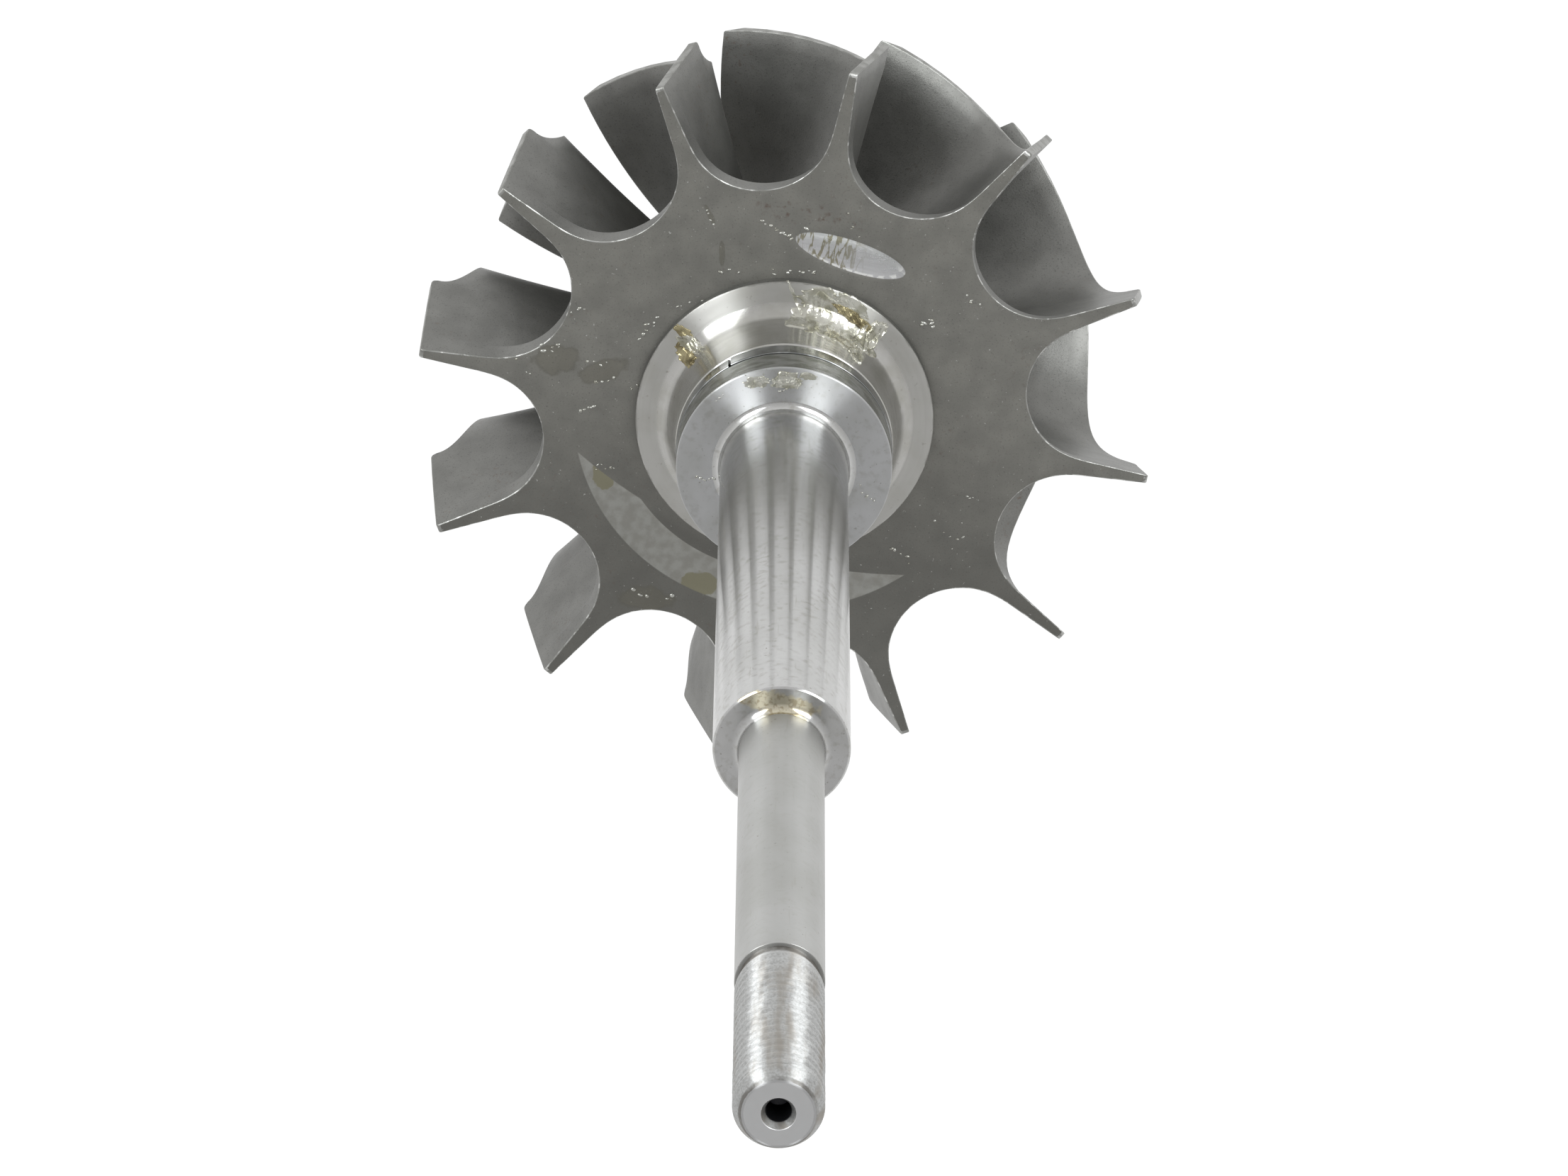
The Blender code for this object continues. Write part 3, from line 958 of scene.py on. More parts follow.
@dataclass(frozen=True)
class DrumSteel(GroundSteel):
    """Drum steel, with a dull front face and a polished rim that is painted darker, a painted
    dark reflection.
    """

    front_height: float = 0.0
    # rim colour, darker than the face: a painted dark reflection
    rim: Colour = (0.36, 0.365, 0.35)
    smear: Colour = (0.24, 0.245, 0.22)
    smears: Patches = Patches(1.6, 4.0, 0.45, 0.6, stretch=(0.5, 0.5, 1.5))

    def dressed(
        self, bench: NodeBench, colour: Socket, roughness: Socket
    ) -> tuple[Socket, Socket]:
        """Smoother rim under the front edge, painted darker as a painted dark reflection, with
        greenish smears.
        """
        # painted dark reflection: the rim under the front edge is darker, with greenish smears in
        # it
        rim = bench.step(bench.height, self.front_height - 0.1, self.front_height - 0.2)
        shade = bench.blend(bench.patches(self.smears), self.rim, self.smear)
        return bench.cover(colour, shade, rim), bench.plus(roughness, bench.lerp(rim, 0.0, -0.14))


@dataclass(frozen=True)
class JournalSteel(GroundSteel):
    """Journal steel, with straw-coloured dirt on the end face beside the stub."""

    end_height: float = 0.0
    dirt: Colour = (0.62, 0.57, 0.43)
    deep_dirt: Colour = (0.40, 0.34, 0.22)
    dirt_place: Oval = Oval(-0.75, 2.85, 2.6, 0.75, math.radians(-2))
    dirt_tones: Patches = Patches(3.5, 4.0, 0.48, 0.62, 8.0)
    dirt_share: float = 0.85

    def dressed(
        self, bench: NodeBench, colour: Socket, roughness: Socket
    ) -> tuple[Socket, Socket]:
        """Dirt where the fillet meets the face, on the side of the scoop."""
        ragged = bench.noise(2.6, 5.0, offset=7.0)
        edge = bench.plus(bench.oval(self.dirt_place), ragged)
        above = bench.step(bench.height, self.end_height - 0.2, self.end_height - 0.1)
        dirt = bench.blend(bench.patches(self.dirt_tones), self.dirt, self.deep_dirt)
        place = bench.step(edge, 1.55, 1.25)
        return bench.cover(colour, dirt, place, above, self.dirt_share), roughness


@dataclass(frozen=True)
class SpringSteel:
    """Seal ring, dark from heat, with bright worn edges."""

    lift: float
    dark: Colour = (0.20, 0.205, 0.20)
    worn: Colour = (0.45, 0.46, 0.46)
    worn_parts: Patches = Patches(0.5, 4.0, 0.44, 0.64)
    roughness: Range = (0.12, 0.26)

    def material(self) -> bpy.types.Material:
        """Dark band that is worn bright in places."""
        bench = NodeBench("spring_steel", self.lift)
        lines = bench.turning_marks(16.0, 1.0)
        colour = bench.blend(bench.patches(self.worn_parts), self.dark, self.worn)
        roughness = bench.lerp(lines, *self.roughness)
        return bench.finish(colour, roughness, bench.bump(lines, 0.001))


@dataclass(frozen=True)
class ThreadSteel:
    """Burnished thread, darker in the relief at its start, with a dark centre hole."""

    lift: float
    name: str
    anisotropic: float
    relief_top: float
    face_height: float
    hole_radius: float
    hole_top: float
    rim_radius: float = 2.0
    bright: Colour = (0.53, 0.535, 0.53)
    dull: Colour = (0.39, 0.39, 0.38)
    brown: Colour = (0.365, 0.345, 0.315)
    # dark colour of the band in the relief and of the ring round the end face
    grime: Colour = (0.16, 0.15, 0.135)
    face: Colour = (0.48, 0.48, 0.48)
    shade: Colour = (0.05, 0.05, 0.055)
    sparkles: Patches = Patches(8.0, 4.0, 0.36, 0.70, 4.0)
    stains: Patches = Patches(1.0, 4.0, 0.48, 0.70, 2.0, (1.1, 1.1, 0.15))
    darker_parts: Patches = Patches(0.8, 3.0, 0.35, 0.55, 6.0)
    roughness: Range = (0.34, 0.48)

    def material(self) -> bpy.types.Material:
        """Bright crests with brown stains, darker in the relief and in a ring round the end, a
        dark hole.
        """
        bench = NodeBench(self.name, self.lift)
        grain = bench.noise(4.0, 4.0)
        patchy = bench.patches(self.darker_parts)
        colour = bench.blend(bench.patches(self.sparkles), self.bright, self.dull)
        colour = bench.cover(colour, self.brown, bench.patches(self.stains))
        # darker band over the relief and the start of the shoulder
        start = bench.step(bench.height, self.relief_top + 0.35, self.relief_top - 0.05)
        colour = bench.cover(colour, self.grime, start, bench.lerp(patchy, 0.6, 1.0))
        level = bench.step(bench.height, self.face_height - 0.06, self.face_height - 0.01)
        colour = bench.cover(colour, self.face, level)
        # darker ring round the edge of the end face, where the lead-in meets it
        outward = bench.plus(bench.radius, bench.lerp(grain, -0.04, 0.04))
        inner = bench.step(outward, self.rim_radius - 0.04, self.rim_radius)
        outer = bench.step(outward, self.rim_radius + 0.16, self.rim_radius + 0.10)
        top = bench.step(bench.height, self.face_height - 0.5, self.face_height - 0.4)
        ring = (inner, outer, bench.lerp(patchy, 0.2, 0.8), top)
        colour = bench.cover(colour, self.grime, *ring)
        below = bench.step(bench.height, self.hole_top, self.hole_top - 0.1)
        within = bench.step(bench.radius, self.hole_radius + 0.12, self.hole_radius + 0.05)
        colour = bench.cover(colour, self.shade, below, within)
        roughness = bench.lerp(bench.noise(2.0, 4.0, offset=1.0), *self.roughness)
        return bench.finish(colour, roughness, bench.bump(grain, 0.006), 0.92, self.anisotropic)


@dataclass(frozen=True)
class OldOil:
    """Dried oil: a glossy skin that is straw coloured where thin and brown where thick."""

    lift: float
    name: str
    thin: Colour
    thick: Colour
    brown_share: float = 0.9
    alpha: float = 1.0
    tones: Patches = Patches(1.1, 5.0, 0.46, 0.60)
    roughness: Range = (0.08, 0.22)

    def material(self) -> bpy.types.Material:
        """Two tones broken up by noise, under a clear gloss."""
        bench = NodeBench(self.name, self.lift)
        colour = bench.cover(self.thin, self.thick, bench.patches(self.tones), self.brown_share)
        roughness = bench.lerp(bench.noise(3.0, 3.0, offset=2.0), *self.roughness)
        normal = bench.bump(bench.noise(4.0, 3.0, offset=5.0), 0.02)
        bench.shader.inputs["Alpha"].default_value = self.alpha
        return bench.finish(colour, roughness, normal, metallic=0.75)


# Wheel


@dataclass
class WheelCasting:
    """The wheel's casting: hub, scalloped back and twelve blades as one closed surface.

    Every level of the wheel has an outline of twelve blades. On one blade, the way along the
    outline runs out from the passage floor to the tip and back on the other side.
    """

    datum: Datum
    scoop: ScoopMark
    crescent: CrescentMark
    inlet_width: float = 6.9
    outlet_radius: float = 19.75
    plate_thickness: float = 1.25
    scallop_radius: float = 15.4
    nose_radius: float = 5.6
    neck_radius: float = 4.9
    tip_half_width: float = 0.26
    root_half_width: float = 0.745
    scallop_rounding: float = 4.5
    passage_rounding: float = 1.6
    rounding_fade: float = 6.0
    edge_round: float = 0.06
    near_corner: float = 0.2
    far_corner: float = 0.35
    inlet_lean: float = math.radians(-0.782)
    sweep_start: float = 4.7
    sweep_angle: float = math.radians(34.7)
    outlet_twist: float = math.radians(0.66)
    waviness: float = 0.025
    wave_length: float = 7.0
    calm_floor: float = 8.0
    calm_back: float = 3.0
    calm_outlet: float = 2.0
    calm_tip: float = 1.5
    plate_levels: tuple[float, ...] = (0.1, 0.2, 0.45, 0.8, 1.21)
    last_level: float = 0.12
    edge_rows: int = 3
    floor_rows: int = 14
    corner_rows: int = 5
    shroud_rows: int = 24
    nose_rows: int = 8
    side_columns: int = 26
    strip_columns: int = 24
    face_step: float = 0.2
    collar_overlap: float = 0.3

    def hub_radius(self, depth: Array) -> Array:
        """Floor of the passages: level across the plate, then a quarter ellipse to the nose."""
        outlet = self.datum.outlet_depth
        left = (outlet - depth) / (outlet - self.plate_thickness)
        bend = np.sqrt(1 - np.clip(left, 0, 1) ** 2)
        return self.scallop_radius - (self.scallop_radius - self.nose_radius) * bend

    def tip_radius(self, depth: Array) -> Array:
        """Outer edge of the blades: level over the inlet, then a quarter ellipse to the outlet.

        The inlet's two corners are rounded by quarter circles.
        """
        rim = self.datum.wheel_radius
        near = np.clip(1 - depth / self.near_corner, 0, 1)
        far = np.clip(1 - (self.inlet_width - depth) / self.far_corner, 0, 1)
        rim = rim - self.near_corner * (1 - np.sqrt(1 - near**2))
        rim = rim - self.far_corner * (1 - np.sqrt(1 - far**2))
        left = (self.datum.outlet_depth - depth) / (self.datum.outlet_depth - self.inlet_width)
        bend = np.sqrt(1 - np.clip(left, 0, 1) ** 2)
        return rim - (self.datum.wheel_radius - self.far_corner - self.outlet_radius) * bend

    def sweep(self, depth: Array) -> Array:
        """Share of the way from where the blade starts to curve to the outlet."""
        run = self.datum.outlet_depth - self.sweep_start
        return np.clip((depth - self.sweep_start) / run, 0, 1)

    def turn(self, depth: Array, inset: Array) -> Array:
        """Azimuth of a blade's middle: lean d + sweep s^3 + twist i s^1.5, i in from the tip."""
        share = self.sweep(depth)
        lean = self.inlet_lean * depth + self.sweep_angle * share**3
        return lean + self.outlet_twist * inset * share**1.5

    def half_width(self, radius: Array, depth: Array) -> Array:
        """Half the blade's width in the level cut, wider where the blade slopes.

        The true half width is multiplied by sqrt(1 + a^2 + b^2), where a and b are the slopes
        of the middle surface along the axis and along the radius.
        """
        hub, tip = self.hub_radius(depth), self.tip_radius(depth)
        share = np.clip((tip - radius) / (tip - hub), 0, 1)
        run = self.datum.outlet_depth - self.sweep_start
        sweep = self.sweep(depth)
        inset = tip - radius
        down = self.inlet_lean + 3 * self.sweep_angle * sweep**2 / run
        down = down + 1.5 * self.outlet_twist * inset * np.sqrt(sweep) / run
        out = self.outlet_twist * sweep**1.5
        tilt = np.sqrt(1 + (radius * down) ** 2 + (radius * out) ** 2)
        return (self.tip_half_width + (self.root_half_width - self.tip_half_width) * share) * tilt

    def side(self, depth: Array, inset: Array) -> tuple[Array, Array, Array]:
        """One side of a blade at each level, from the passage floor to the tip.

        The gap between two blades is (pitch r / 2 - w) sqrt(1 - (1 - h / H)^3) wide to each
        side, where h is the height above the floor, until h reaches the rounding's height H.

        Args:
            depth: depths of the levels, as a column.
            inset: how far each level is drawn in by a rounded edge, as a column.

        Returns:
            Radii, azimuths of the blade's middle, and angles from the middle to the side.
        """
        share = np.linspace(0, 1, self.side_columns + 1)[None, :]
        hub = self.hub_radius(depth) - inset
        tip = self.tip_radius(depth) - inset - self.edge_round
        radius = hub + (tip - hub) * share**2
        fade = smooth(depth / self.rounding_fade)
        height = self.scallop_rounding + (self.passage_rounding - self.scallop_rounding) * fade
        rest = 1 - np.clip((radius - hub) / height, 0, 1)
        opening = np.sqrt(1 - rest**3)
        width = self.half_width(radius, depth) - inset
        middle = self.turn(depth, self.tip_radius(depth) - radius)
        aside = 0.5 * PITCH - (0.5 * PITCH - width / radius) * opening
        return radius, middle, aside

    def strip(self, depth: Array, inset: Array) -> tuple[Array, Array, Array]:
        """The blade's outer edge at each level, across its width, with rounded corners.

        Across the width u from -1 to 1, the radius drops by e (1 - sqrt(1 - v^2)), where v
        goes from 0 to 1 over the last e of the width.

        Args:
            depth: depths of the levels, as a column.
            inset: how far each level is drawn in by a rounded edge, as a column.

        Returns:
            Radii, azimuths of the blade's middle, and angles from the middle.
        """
        across = np.linspace(-1, 1, self.strip_columns + 1)[None, :]
        tip = self.tip_radius(depth)
        width = self.half_width(tip, depth) - inset
        over = np.clip(1 - (1 - np.abs(across)) * width / self.edge_round, 0, 1)
        radius = tip - inset - self.edge_round * (1 - np.sqrt(1 - over**2))
        middle = self.turn(depth, tip - radius)
        return radius, middle, across * width / radius

    def levels(self) -> tuple[Array, Array]:
        """Depths of the levels of the wall, and how far the rounded edges draw each one in.

        On an edge with rounding e, depth = e (1 - cos t) and inset = e (1 - sin t).
        """
        outlet, edge = self.datum.outlet_depth, self.edge_round
        turn = quarter(self.edge_rows)
        edge_depth, edge_inset = edge * (1 - np.cos(turn)), edge * (1 - np.sin(turn))
        run = outlet - self.plate_thickness
        last = math.acos((outlet - self.inlet_width) / run)
        floor = outlet - run * np.cos(np.linspace(0, last, self.floor_rows + 1))
        corner = self.inlet_width - self.far_corner * np.cos(quarter(self.corner_rows))
        curve = np.cos(quarter(self.shroud_rows))[1:-1]
        shroud = outlet - (outlet - self.inlet_width) * curve
        parts = [self.plate_levels, floor, corner, shroud, [outlet - self.last_level]]
        body = np.sort(np.concatenate(parts))
        body = body[np.append(True, np.diff(body) > SAME_LEVEL)]
        depth = np.concatenate([edge_depth, body, outlet - edge_depth[::-1]])
        inset = np.concatenate([edge_inset, np.zeros(len(body)), edge_inset[::-1]])
        return depth[:, None], inset[:, None]

    def wave(self, radius: Array, depth: Array, blade: int, face: int) -> Array:
        """Slight unevenness of the cast blade face, nil at its four edges, as an angle."""
        rise = (radius - self.hub_radius(depth)) / self.calm_floor
        inset = (self.tip_radius(depth) - radius) / self.calm_tip
        ahead = (self.datum.outlet_depth - depth) / self.calm_outlet
        calm = smooth(depth / self.calm_back) * smooth(ahead) * (smooth(rise) * smooth(inset))
        bumps = ripple(radius / self.wave_length, depth / self.wave_length, 10 * blade + face)
        return self.waviness * bumps * calm / radius

    def wall(self) -> tuple[Array, Array]:
        """All sides and outer edges of the blades, from the back face to the outlet.

        Returns:
            The grid of points, and the zone of each face.
        """
        depth, inset = self.levels()
        radius, middle, aside = self.side(depth, inset)
        strip_radius, strip_middle, strip_aside = self.strip(depth, inset)
        inner = slice(1, -1)
        columns = []
        for blade in range(BLADES):
            left = middle - aside - self.wave(radius, depth, blade, 0)
            right = middle + aside + self.wave(radius, depth, blade, 1)
            azimuth = [left, (strip_middle + strip_aside)[:, inner], right[:, :0:-1]]
            reach = [radius, strip_radius[:, inner], radius[:, :0:-1]]
            turned = np.concatenate(azimuth, axis=1) + blade * PITCH
            columns.append(polar(np.concatenate(reach, axis=1), turned, -depth))
        zones = np.full((len(depth) - 1, columns[0].shape[1]), Zone.SKIN)
        first = self.side_columns
        zones[:, first : first + self.strip_columns] = Zone.TURNED_RIM
        zones[: self.edge_rows] = Zone.TURNED_RIM
        return np.concatenate(columns, axis=1), np.tile(zones, (1, BLADES))

    def end_face(self, skin: Skin, depth: float, zone: Zone) -> Array:
        """Fill the blades' ends at one end of the wheel, row by row across each blade.

        Args:
            skin: surface that the rows are added to.
            depth: depth of the face.
            zone: finish of the face.

        Returns:
            Azimuths round the floor of the passages, where the ring inside starts.
        """
        level, inset = np.array([[depth]]), np.array([[self.edge_round]])
        radius, middle, aside = self.side(level, inset)
        strip_radius, strip_middle, strip_aside = self.strip(level, inset)
        across = np.linspace(-1, 1, self.strip_columns + 1)
        azimuth = middle[0][:, None] + aside[0][:, None] * across
        reach = np.repeat(radius[0][:, None], len(across), axis=1)
        azimuth[-1] = strip_middle[0] + strip_aside[0]
        reach[-1] = strip_radius[0]
        for blade in range(BLADES):
            skin.add(polar(reach, azimuth + blade * PITCH, -depth), zone)
        turns = np.arange(BLADES)[:, None] * PITCH
        return (azimuth[0][None, :-1] + turns).reshape(-1)

    def build(self) -> bpy.types.Object:
        """Build the casting with its ground marks and its round nose."""
        skin = Skin()
        grid, zones = self.wall()
        skin.add(grid, zones, around=True)

        azimuth = self.end_face(skin, 0.0, Zone.BACK_FACE)
        outer = self.scallop_radius - self.edge_round
        inner = self.datum.collar_radius - self.collar_overlap
        rings = np.linspace(outer, inner, 1 + math.ceil((outer - inner) / self.face_step))
        rings = np.append(rings, [0.5 * inner, 0.0])
        face = polar(rings[:, None], azimuth[None, :], 0.0)
        face[..., 2] -= self.scoop.sink(face[..., 0], face[..., 1])
        face[..., 2] -= self.crescent.sink(face[..., 0], face[..., 1])
        skin.add(face, Zone.BACK_FACE, around=True)

        outlet = self.datum.outlet_depth
        azimuth = self.end_face(skin, outlet, Zone.SKIN)
        hub = self.nose_radius - self.edge_round
        drop = np.linspace(0, 1, self.nose_rows + 1)
        radius = hub - (hub - self.neck_radius) * smooth(drop)
        height = -outlet - (self.datum.hexagon_depth - outlet) * drop
        radius, height = np.append(radius, 0.0)[:, None], np.append(height, height[-1])[:, None]
        skin.add(polar(radius, azimuth[None, :], height), Zone.SKIN, around=True)
        return skin.build("wheel_casting", self.datum.lift)

    def assemble(self) -> bpy.types.Object:
        """Build and dress the casting."""
        lift = self.datum.lift
        finishes = [
            CastSkin(lift).material(),
            BackFaceFinish(lift, self.scoop, self.crescent).material(),
            TurnedRim(lift).material(),
        ]
        blades = [f"blade_{number:02d}" for number in range(1, BLADES + 1)]
        return settle(self.build(), Slot.CAST, finishes, "wheel_hub", "back_disc", *blades)


@dataclass
class NoseHexagon:
    """Cast hexagon on the nose that holds the wheel while the shaft is welded on."""

    datum: Datum
    half_flats: float = 4.0
    chamfer_start: float = 3.6
    chamfer_slope: float = 0.6
    corner_round: float = 0.25
    drill_radius: float = 1.2
    drill_depth: float = 1.6
    drill_break: float = 0.08
    pilot_radius: float = 0.45
    rows: int = 30
    crowding: float = 1.5
    columns: int = 240

    def build(self) -> bpy.types.Object:
        """Hexagon with a chamfered end and a centre drilling.

        Its radius at an azimuth a from the middle of a flat is the least of the flat's h / cos a,
        the circle that breaks the corners, and the chamfer's cone. The rows crowd at the end.
        """
        azimuth = circle(self.columns)
        sector = np.pi / 3
        off = np.mod(azimuth + 0.5 * sector, sector) - 0.5 * sector
        flats = self.half_flats / np.cos(off)
        corner = self.half_flats / math.cos(0.5 * sector) - self.corner_round
        top, bottom = -self.datum.hexagon_depth, -self.datum.nose_depth
        share = np.linspace(0.97, 0, self.rows) ** self.crowding
        height = np.append(top, bottom + (top - bottom) * share)
        cone = self.chamfer_start + (height - bottom) / self.chamfer_slope
        sides = np.minimum(flats, corner)[None, :]
        radius = np.minimum(sides, cone[:, None])
        radius[0] = radius[1]
        skin = Skin()
        skin.add(polar(radius, azimuth[None, :], height[:, None]), around=True)
        lid = polar(np.array([[0.0], [1.0]]) * radius[0], azimuth[None, :], top)
        skin.add(lid, around=True)
        drill = rounded_profile(
            [
                (self.chamfer_start, bottom, 0.0),
                (self.drill_radius, bottom, self.drill_break),
                (self.pilot_radius, bottom + 0.8 * self.drill_depth, 0.05),
                (0.0, bottom + self.drill_depth, 0.0),
            ]
        )
        skin.add(spin(drill, self.columns), around=True)
        return skin.build("nose_hexagon", self.datum.lift)

    def assemble(self) -> bpy.types.Object:
        """Build and dress the hexagon."""
        return settle(self.build(), Slot.CAST, [CastSkin(self.datum.lift).material()], "nose_hex")


# Seal end


@dataclass
class HubFlare:
    """Cast foot with a turned ring on it, and the polished neck that rises to the seal ring."""

    datum: Datum
    foot_radius: float = 9.45
    foot_height: float = 0.66
    foot_round: float = 0.10
    crease_radius: float = 8.1
    crease_height: float = 0.78
    swell_radius: float = 7.47
    swell_height: float = 1.30
    swell_slope: float = 1.15
    neck_radius: float = 6.87
    neck_height: float = 4.3
    lip_radius: float = 6.72
    lip_height: float = 4.74
    lip_lead: float = 0.14
    lip_bevel: float = 0.1
    lip_step: float = 0.01
    edge_rows: int = 5
    ring_rows: int = 12
    swell_rows: int = 12
    neck_rows: int = 24
    ring_start: float = 0.05
    sunk: float = 0.1
    cast_height: float = 0.3
    columns: int = 288

    def path(self) -> Array:
        """Section from the foot's rounded edge to the neck's lip, as rows of (radius, height).

        The turned ring is a shallow cone up to the crease. From there a parabola steepens to
        the swell's slope m. Above it, an ellipse goes on to the upright neck: a width w and a
        height h with sin t = m w / (h - m w) where it starts.
        """
        turn = quarter(self.edge_rows)
        edge_radius = self.foot_radius - self.foot_round * (1 - np.cos(turn))
        edge_height = self.foot_height - self.foot_round * (1 - np.sin(turn))
        share = np.linspace(self.ring_start, 1, self.ring_rows)
        ring_radius = edge_radius[-1] + (self.crease_radius - edge_radius[-1]) * share
        ring_height = self.foot_height + (self.crease_height - self.foot_height) * share
        run, rise = self.crease_radius - self.swell_radius, self.swell_height - self.crease_height
        share = np.linspace(0, 1, self.swell_rows + 1)[1:]
        bend = self.swell_slope * run - rise
        swell_radius = self.crease_radius - run * share
        swell_height = self.crease_height + (rise - bend) * share + bend * share**2
        width = self.swell_radius - self.neck_radius
        height = self.neck_height - self.swell_height
        start = math.asin(self.swell_slope * width / (height - self.swell_slope * width))
        turn = np.linspace(start, 0.5 * np.pi, self.neck_rows + 1)[1:]
        reach = width / (1 - math.sin(start))
        neck_radius = self.neck_radius + reach * (1 - np.sin(turn))
        neck_height = self.neck_height - height / math.cos(start) * np.cos(turn)
        before_lip = self.neck_radius - self.lip_step * np.array([1, 2])
        lip_radius = np.append(before_lip, self.lip_radius)
        lip_height = self.lip_height - np.array([self.lip_lead, self.lip_bevel, 0.0])
        radius = [edge_radius, ring_radius, swell_radius, neck_radius, lip_radius]
        height = [edge_height, ring_height, swell_height, neck_height, lip_height]
        return np.stack([np.concatenate(radius), np.concatenate(height)], axis=1)

    def assemble(self) -> bpy.types.Object:
        """Build and dress the flare: cast up to the foot's edge, turned above it."""
        side, lift = self.foot_radius, self.datum.lift
        foot = np.array([[0.0, -self.sunk], [side, -self.sunk], [side, self.cast_height]])
        profile = np.concatenate([foot, self.path(), [[0.0, self.lip_height]]])
        turned = np.arange(len(profile) - 1)[:, None] > len(foot)
        piece = turned_piece("hub_flare", profile, self.columns, lift, turned)
        finishes = [
            CastSkin(lift).material(),
            TurnedAlloy(lift, self.crease_radius, self.foot_radius).material(),
        ]
        return settle(piece, Slot.MACHINED, finishes, "hub_collar")


@dataclass
class SealDrum:
    """Drum that carries the seal ring, with the fillet that runs into the shaft."""

    datum: Datum
    rear_radius: float = 6.55
    groove_front: float = 6.05
    groove_radius: float = 5.5
    front_height: float = 8.4
    fillet: float = 0.5
    edge: float = 0.09
    groove_edge: float = 0.05
    fillet_rows: int = 13
    face_rows: int = 7
    columns: int = 256

    def profile(self) -> Array:
        """Lands, groove and front face, then a quarter circle and a short neck of the shaft."""
        rear = self.datum.ring_rear
        foot = self.datum.journal_radius + self.fillet
        corners = [
            (0.0, self.datum.collar_top, 0.0),
            (self.rear_radius, self.datum.collar_top, 0.0),
            (self.rear_radius, rear, self.groove_edge),
            (self.groove_radius, rear, 0.0),
            (self.groove_radius, self.groove_front, 0.0),
            (self.datum.drum_radius, self.groove_front, self.groove_edge),
            (self.datum.drum_radius, self.front_height, self.edge),
            (foot, self.front_height, 0.0),
        ]
        turn = quarter(self.fillet_rows)
        radius = foot - self.fillet * np.sin(turn)
        height = self.front_height + self.fillet * (1 - np.cos(turn))
        curve = np.stack([radius, height], axis=1)
        top = self.datum.neck_top
        neck = [[self.datum.journal_radius, top], [0.0, top]]
        return np.concatenate([rounded_profile(corners), curve, neck])

    def face_path(self) -> Array:
        """Section of the front face from its rounded edge inwards, as (radius, height)."""
        outer, inner = self.datum.drum_radius - self.edge, self.datum.journal_radius + self.fillet
        radius = np.linspace(outer, inner, self.face_rows + 1)
        return np.stack([radius, np.full_like(radius, self.front_height)], axis=1)

    def assemble(self) -> bpy.types.Object:
        """Build and dress the drum, polished from the fillet's foot on."""
        foot = self.datum.journal_radius + self.fillet
        profile = self.profile()
        polished = np.arange(len(profile) - 1)[:, None] >= np.argmax(profile[:, 0] == foot)
        piece = turned_piece("seal_drum", profile, self.columns, self.datum.lift, polished)
        drum = DrumSteel(
            self.datum.lift,
            "drum_steel",
            Grind.FINE,
            pale=(0.55, 0.555, 0.56),
            dark=(0.50, 0.505, 0.50),
            stain_share=0.25,
            anisotropic=1.0,
            front_height=self.front_height,
        )
        fillet = GroundSteel(
            self.datum.lift,
            "fillet_steel",
            Grind.WORN,
            pale=(0.58, 0.58, 0.57),
            dark=(0.53, 0.53, 0.515),
            anisotropic=0.6,
        )
        return settle(piece, Slot.GROUND, [drum.material(), fillet.material()], "seal_boss")


@dataclass
class SplitRing:
    """Seal ring, cut through at one place, where one end stands slightly proud."""

    datum: Datum
    inner_radius: float = 5.8
    width: float = 1.2
    gap: float = 0.2
    gap_azimuth: float = math.radians(130.6)
    proud: float = 0.04
    proud_share: float = 0.03
    edge: float = 0.07
    columns: int = 300

    def assemble(self) -> bpy.types.Object:
        """Carry the ring's section round from one end of the gap to the other."""
        outer, rear = self.datum.ring_radius - self.proud, self.datum.ring_rear
        front = rear + self.width
        middle = 0.5 * (self.inner_radius + outer)
        section = rounded_profile(
            [
                (middle, rear, 0.0),
                (outer, rear, self.edge),
                (outer, front, self.edge),
                (self.inner_radius, front, self.edge),
                (self.inner_radius, rear, self.edge),
                (middle, rear, 0.0),
            ]
        )
        half_gap = 0.5 * self.gap / outer
        share = np.linspace(0, 1, self.columns)
        azimuth = self.gap_azimuth + half_gap + (2 * np.pi - 2 * half_gap) * share
        lifted = self.proud * smooth(1 - (1 - share) / self.proud_share)
        radius = section[:, 0, None] + lifted[None, :]
        grid = polar(radius, azimuth[None, :], section[:, 1, None])
        skin = Skin()
        skin.add(grid)
        centre = np.mean(grid[:-1], axis=0)
        for end in (0, -1):
            skin.add(np.stack([grid[:, end], np.repeat(centre[end][None], len(section), 0)]))
        piece = skin.build("split_ring", self.datum.lift)
        return settle(piece, Slot.RING, [SpringSteel(self.datum.lift).material()], "seal_ring")


# Shaft


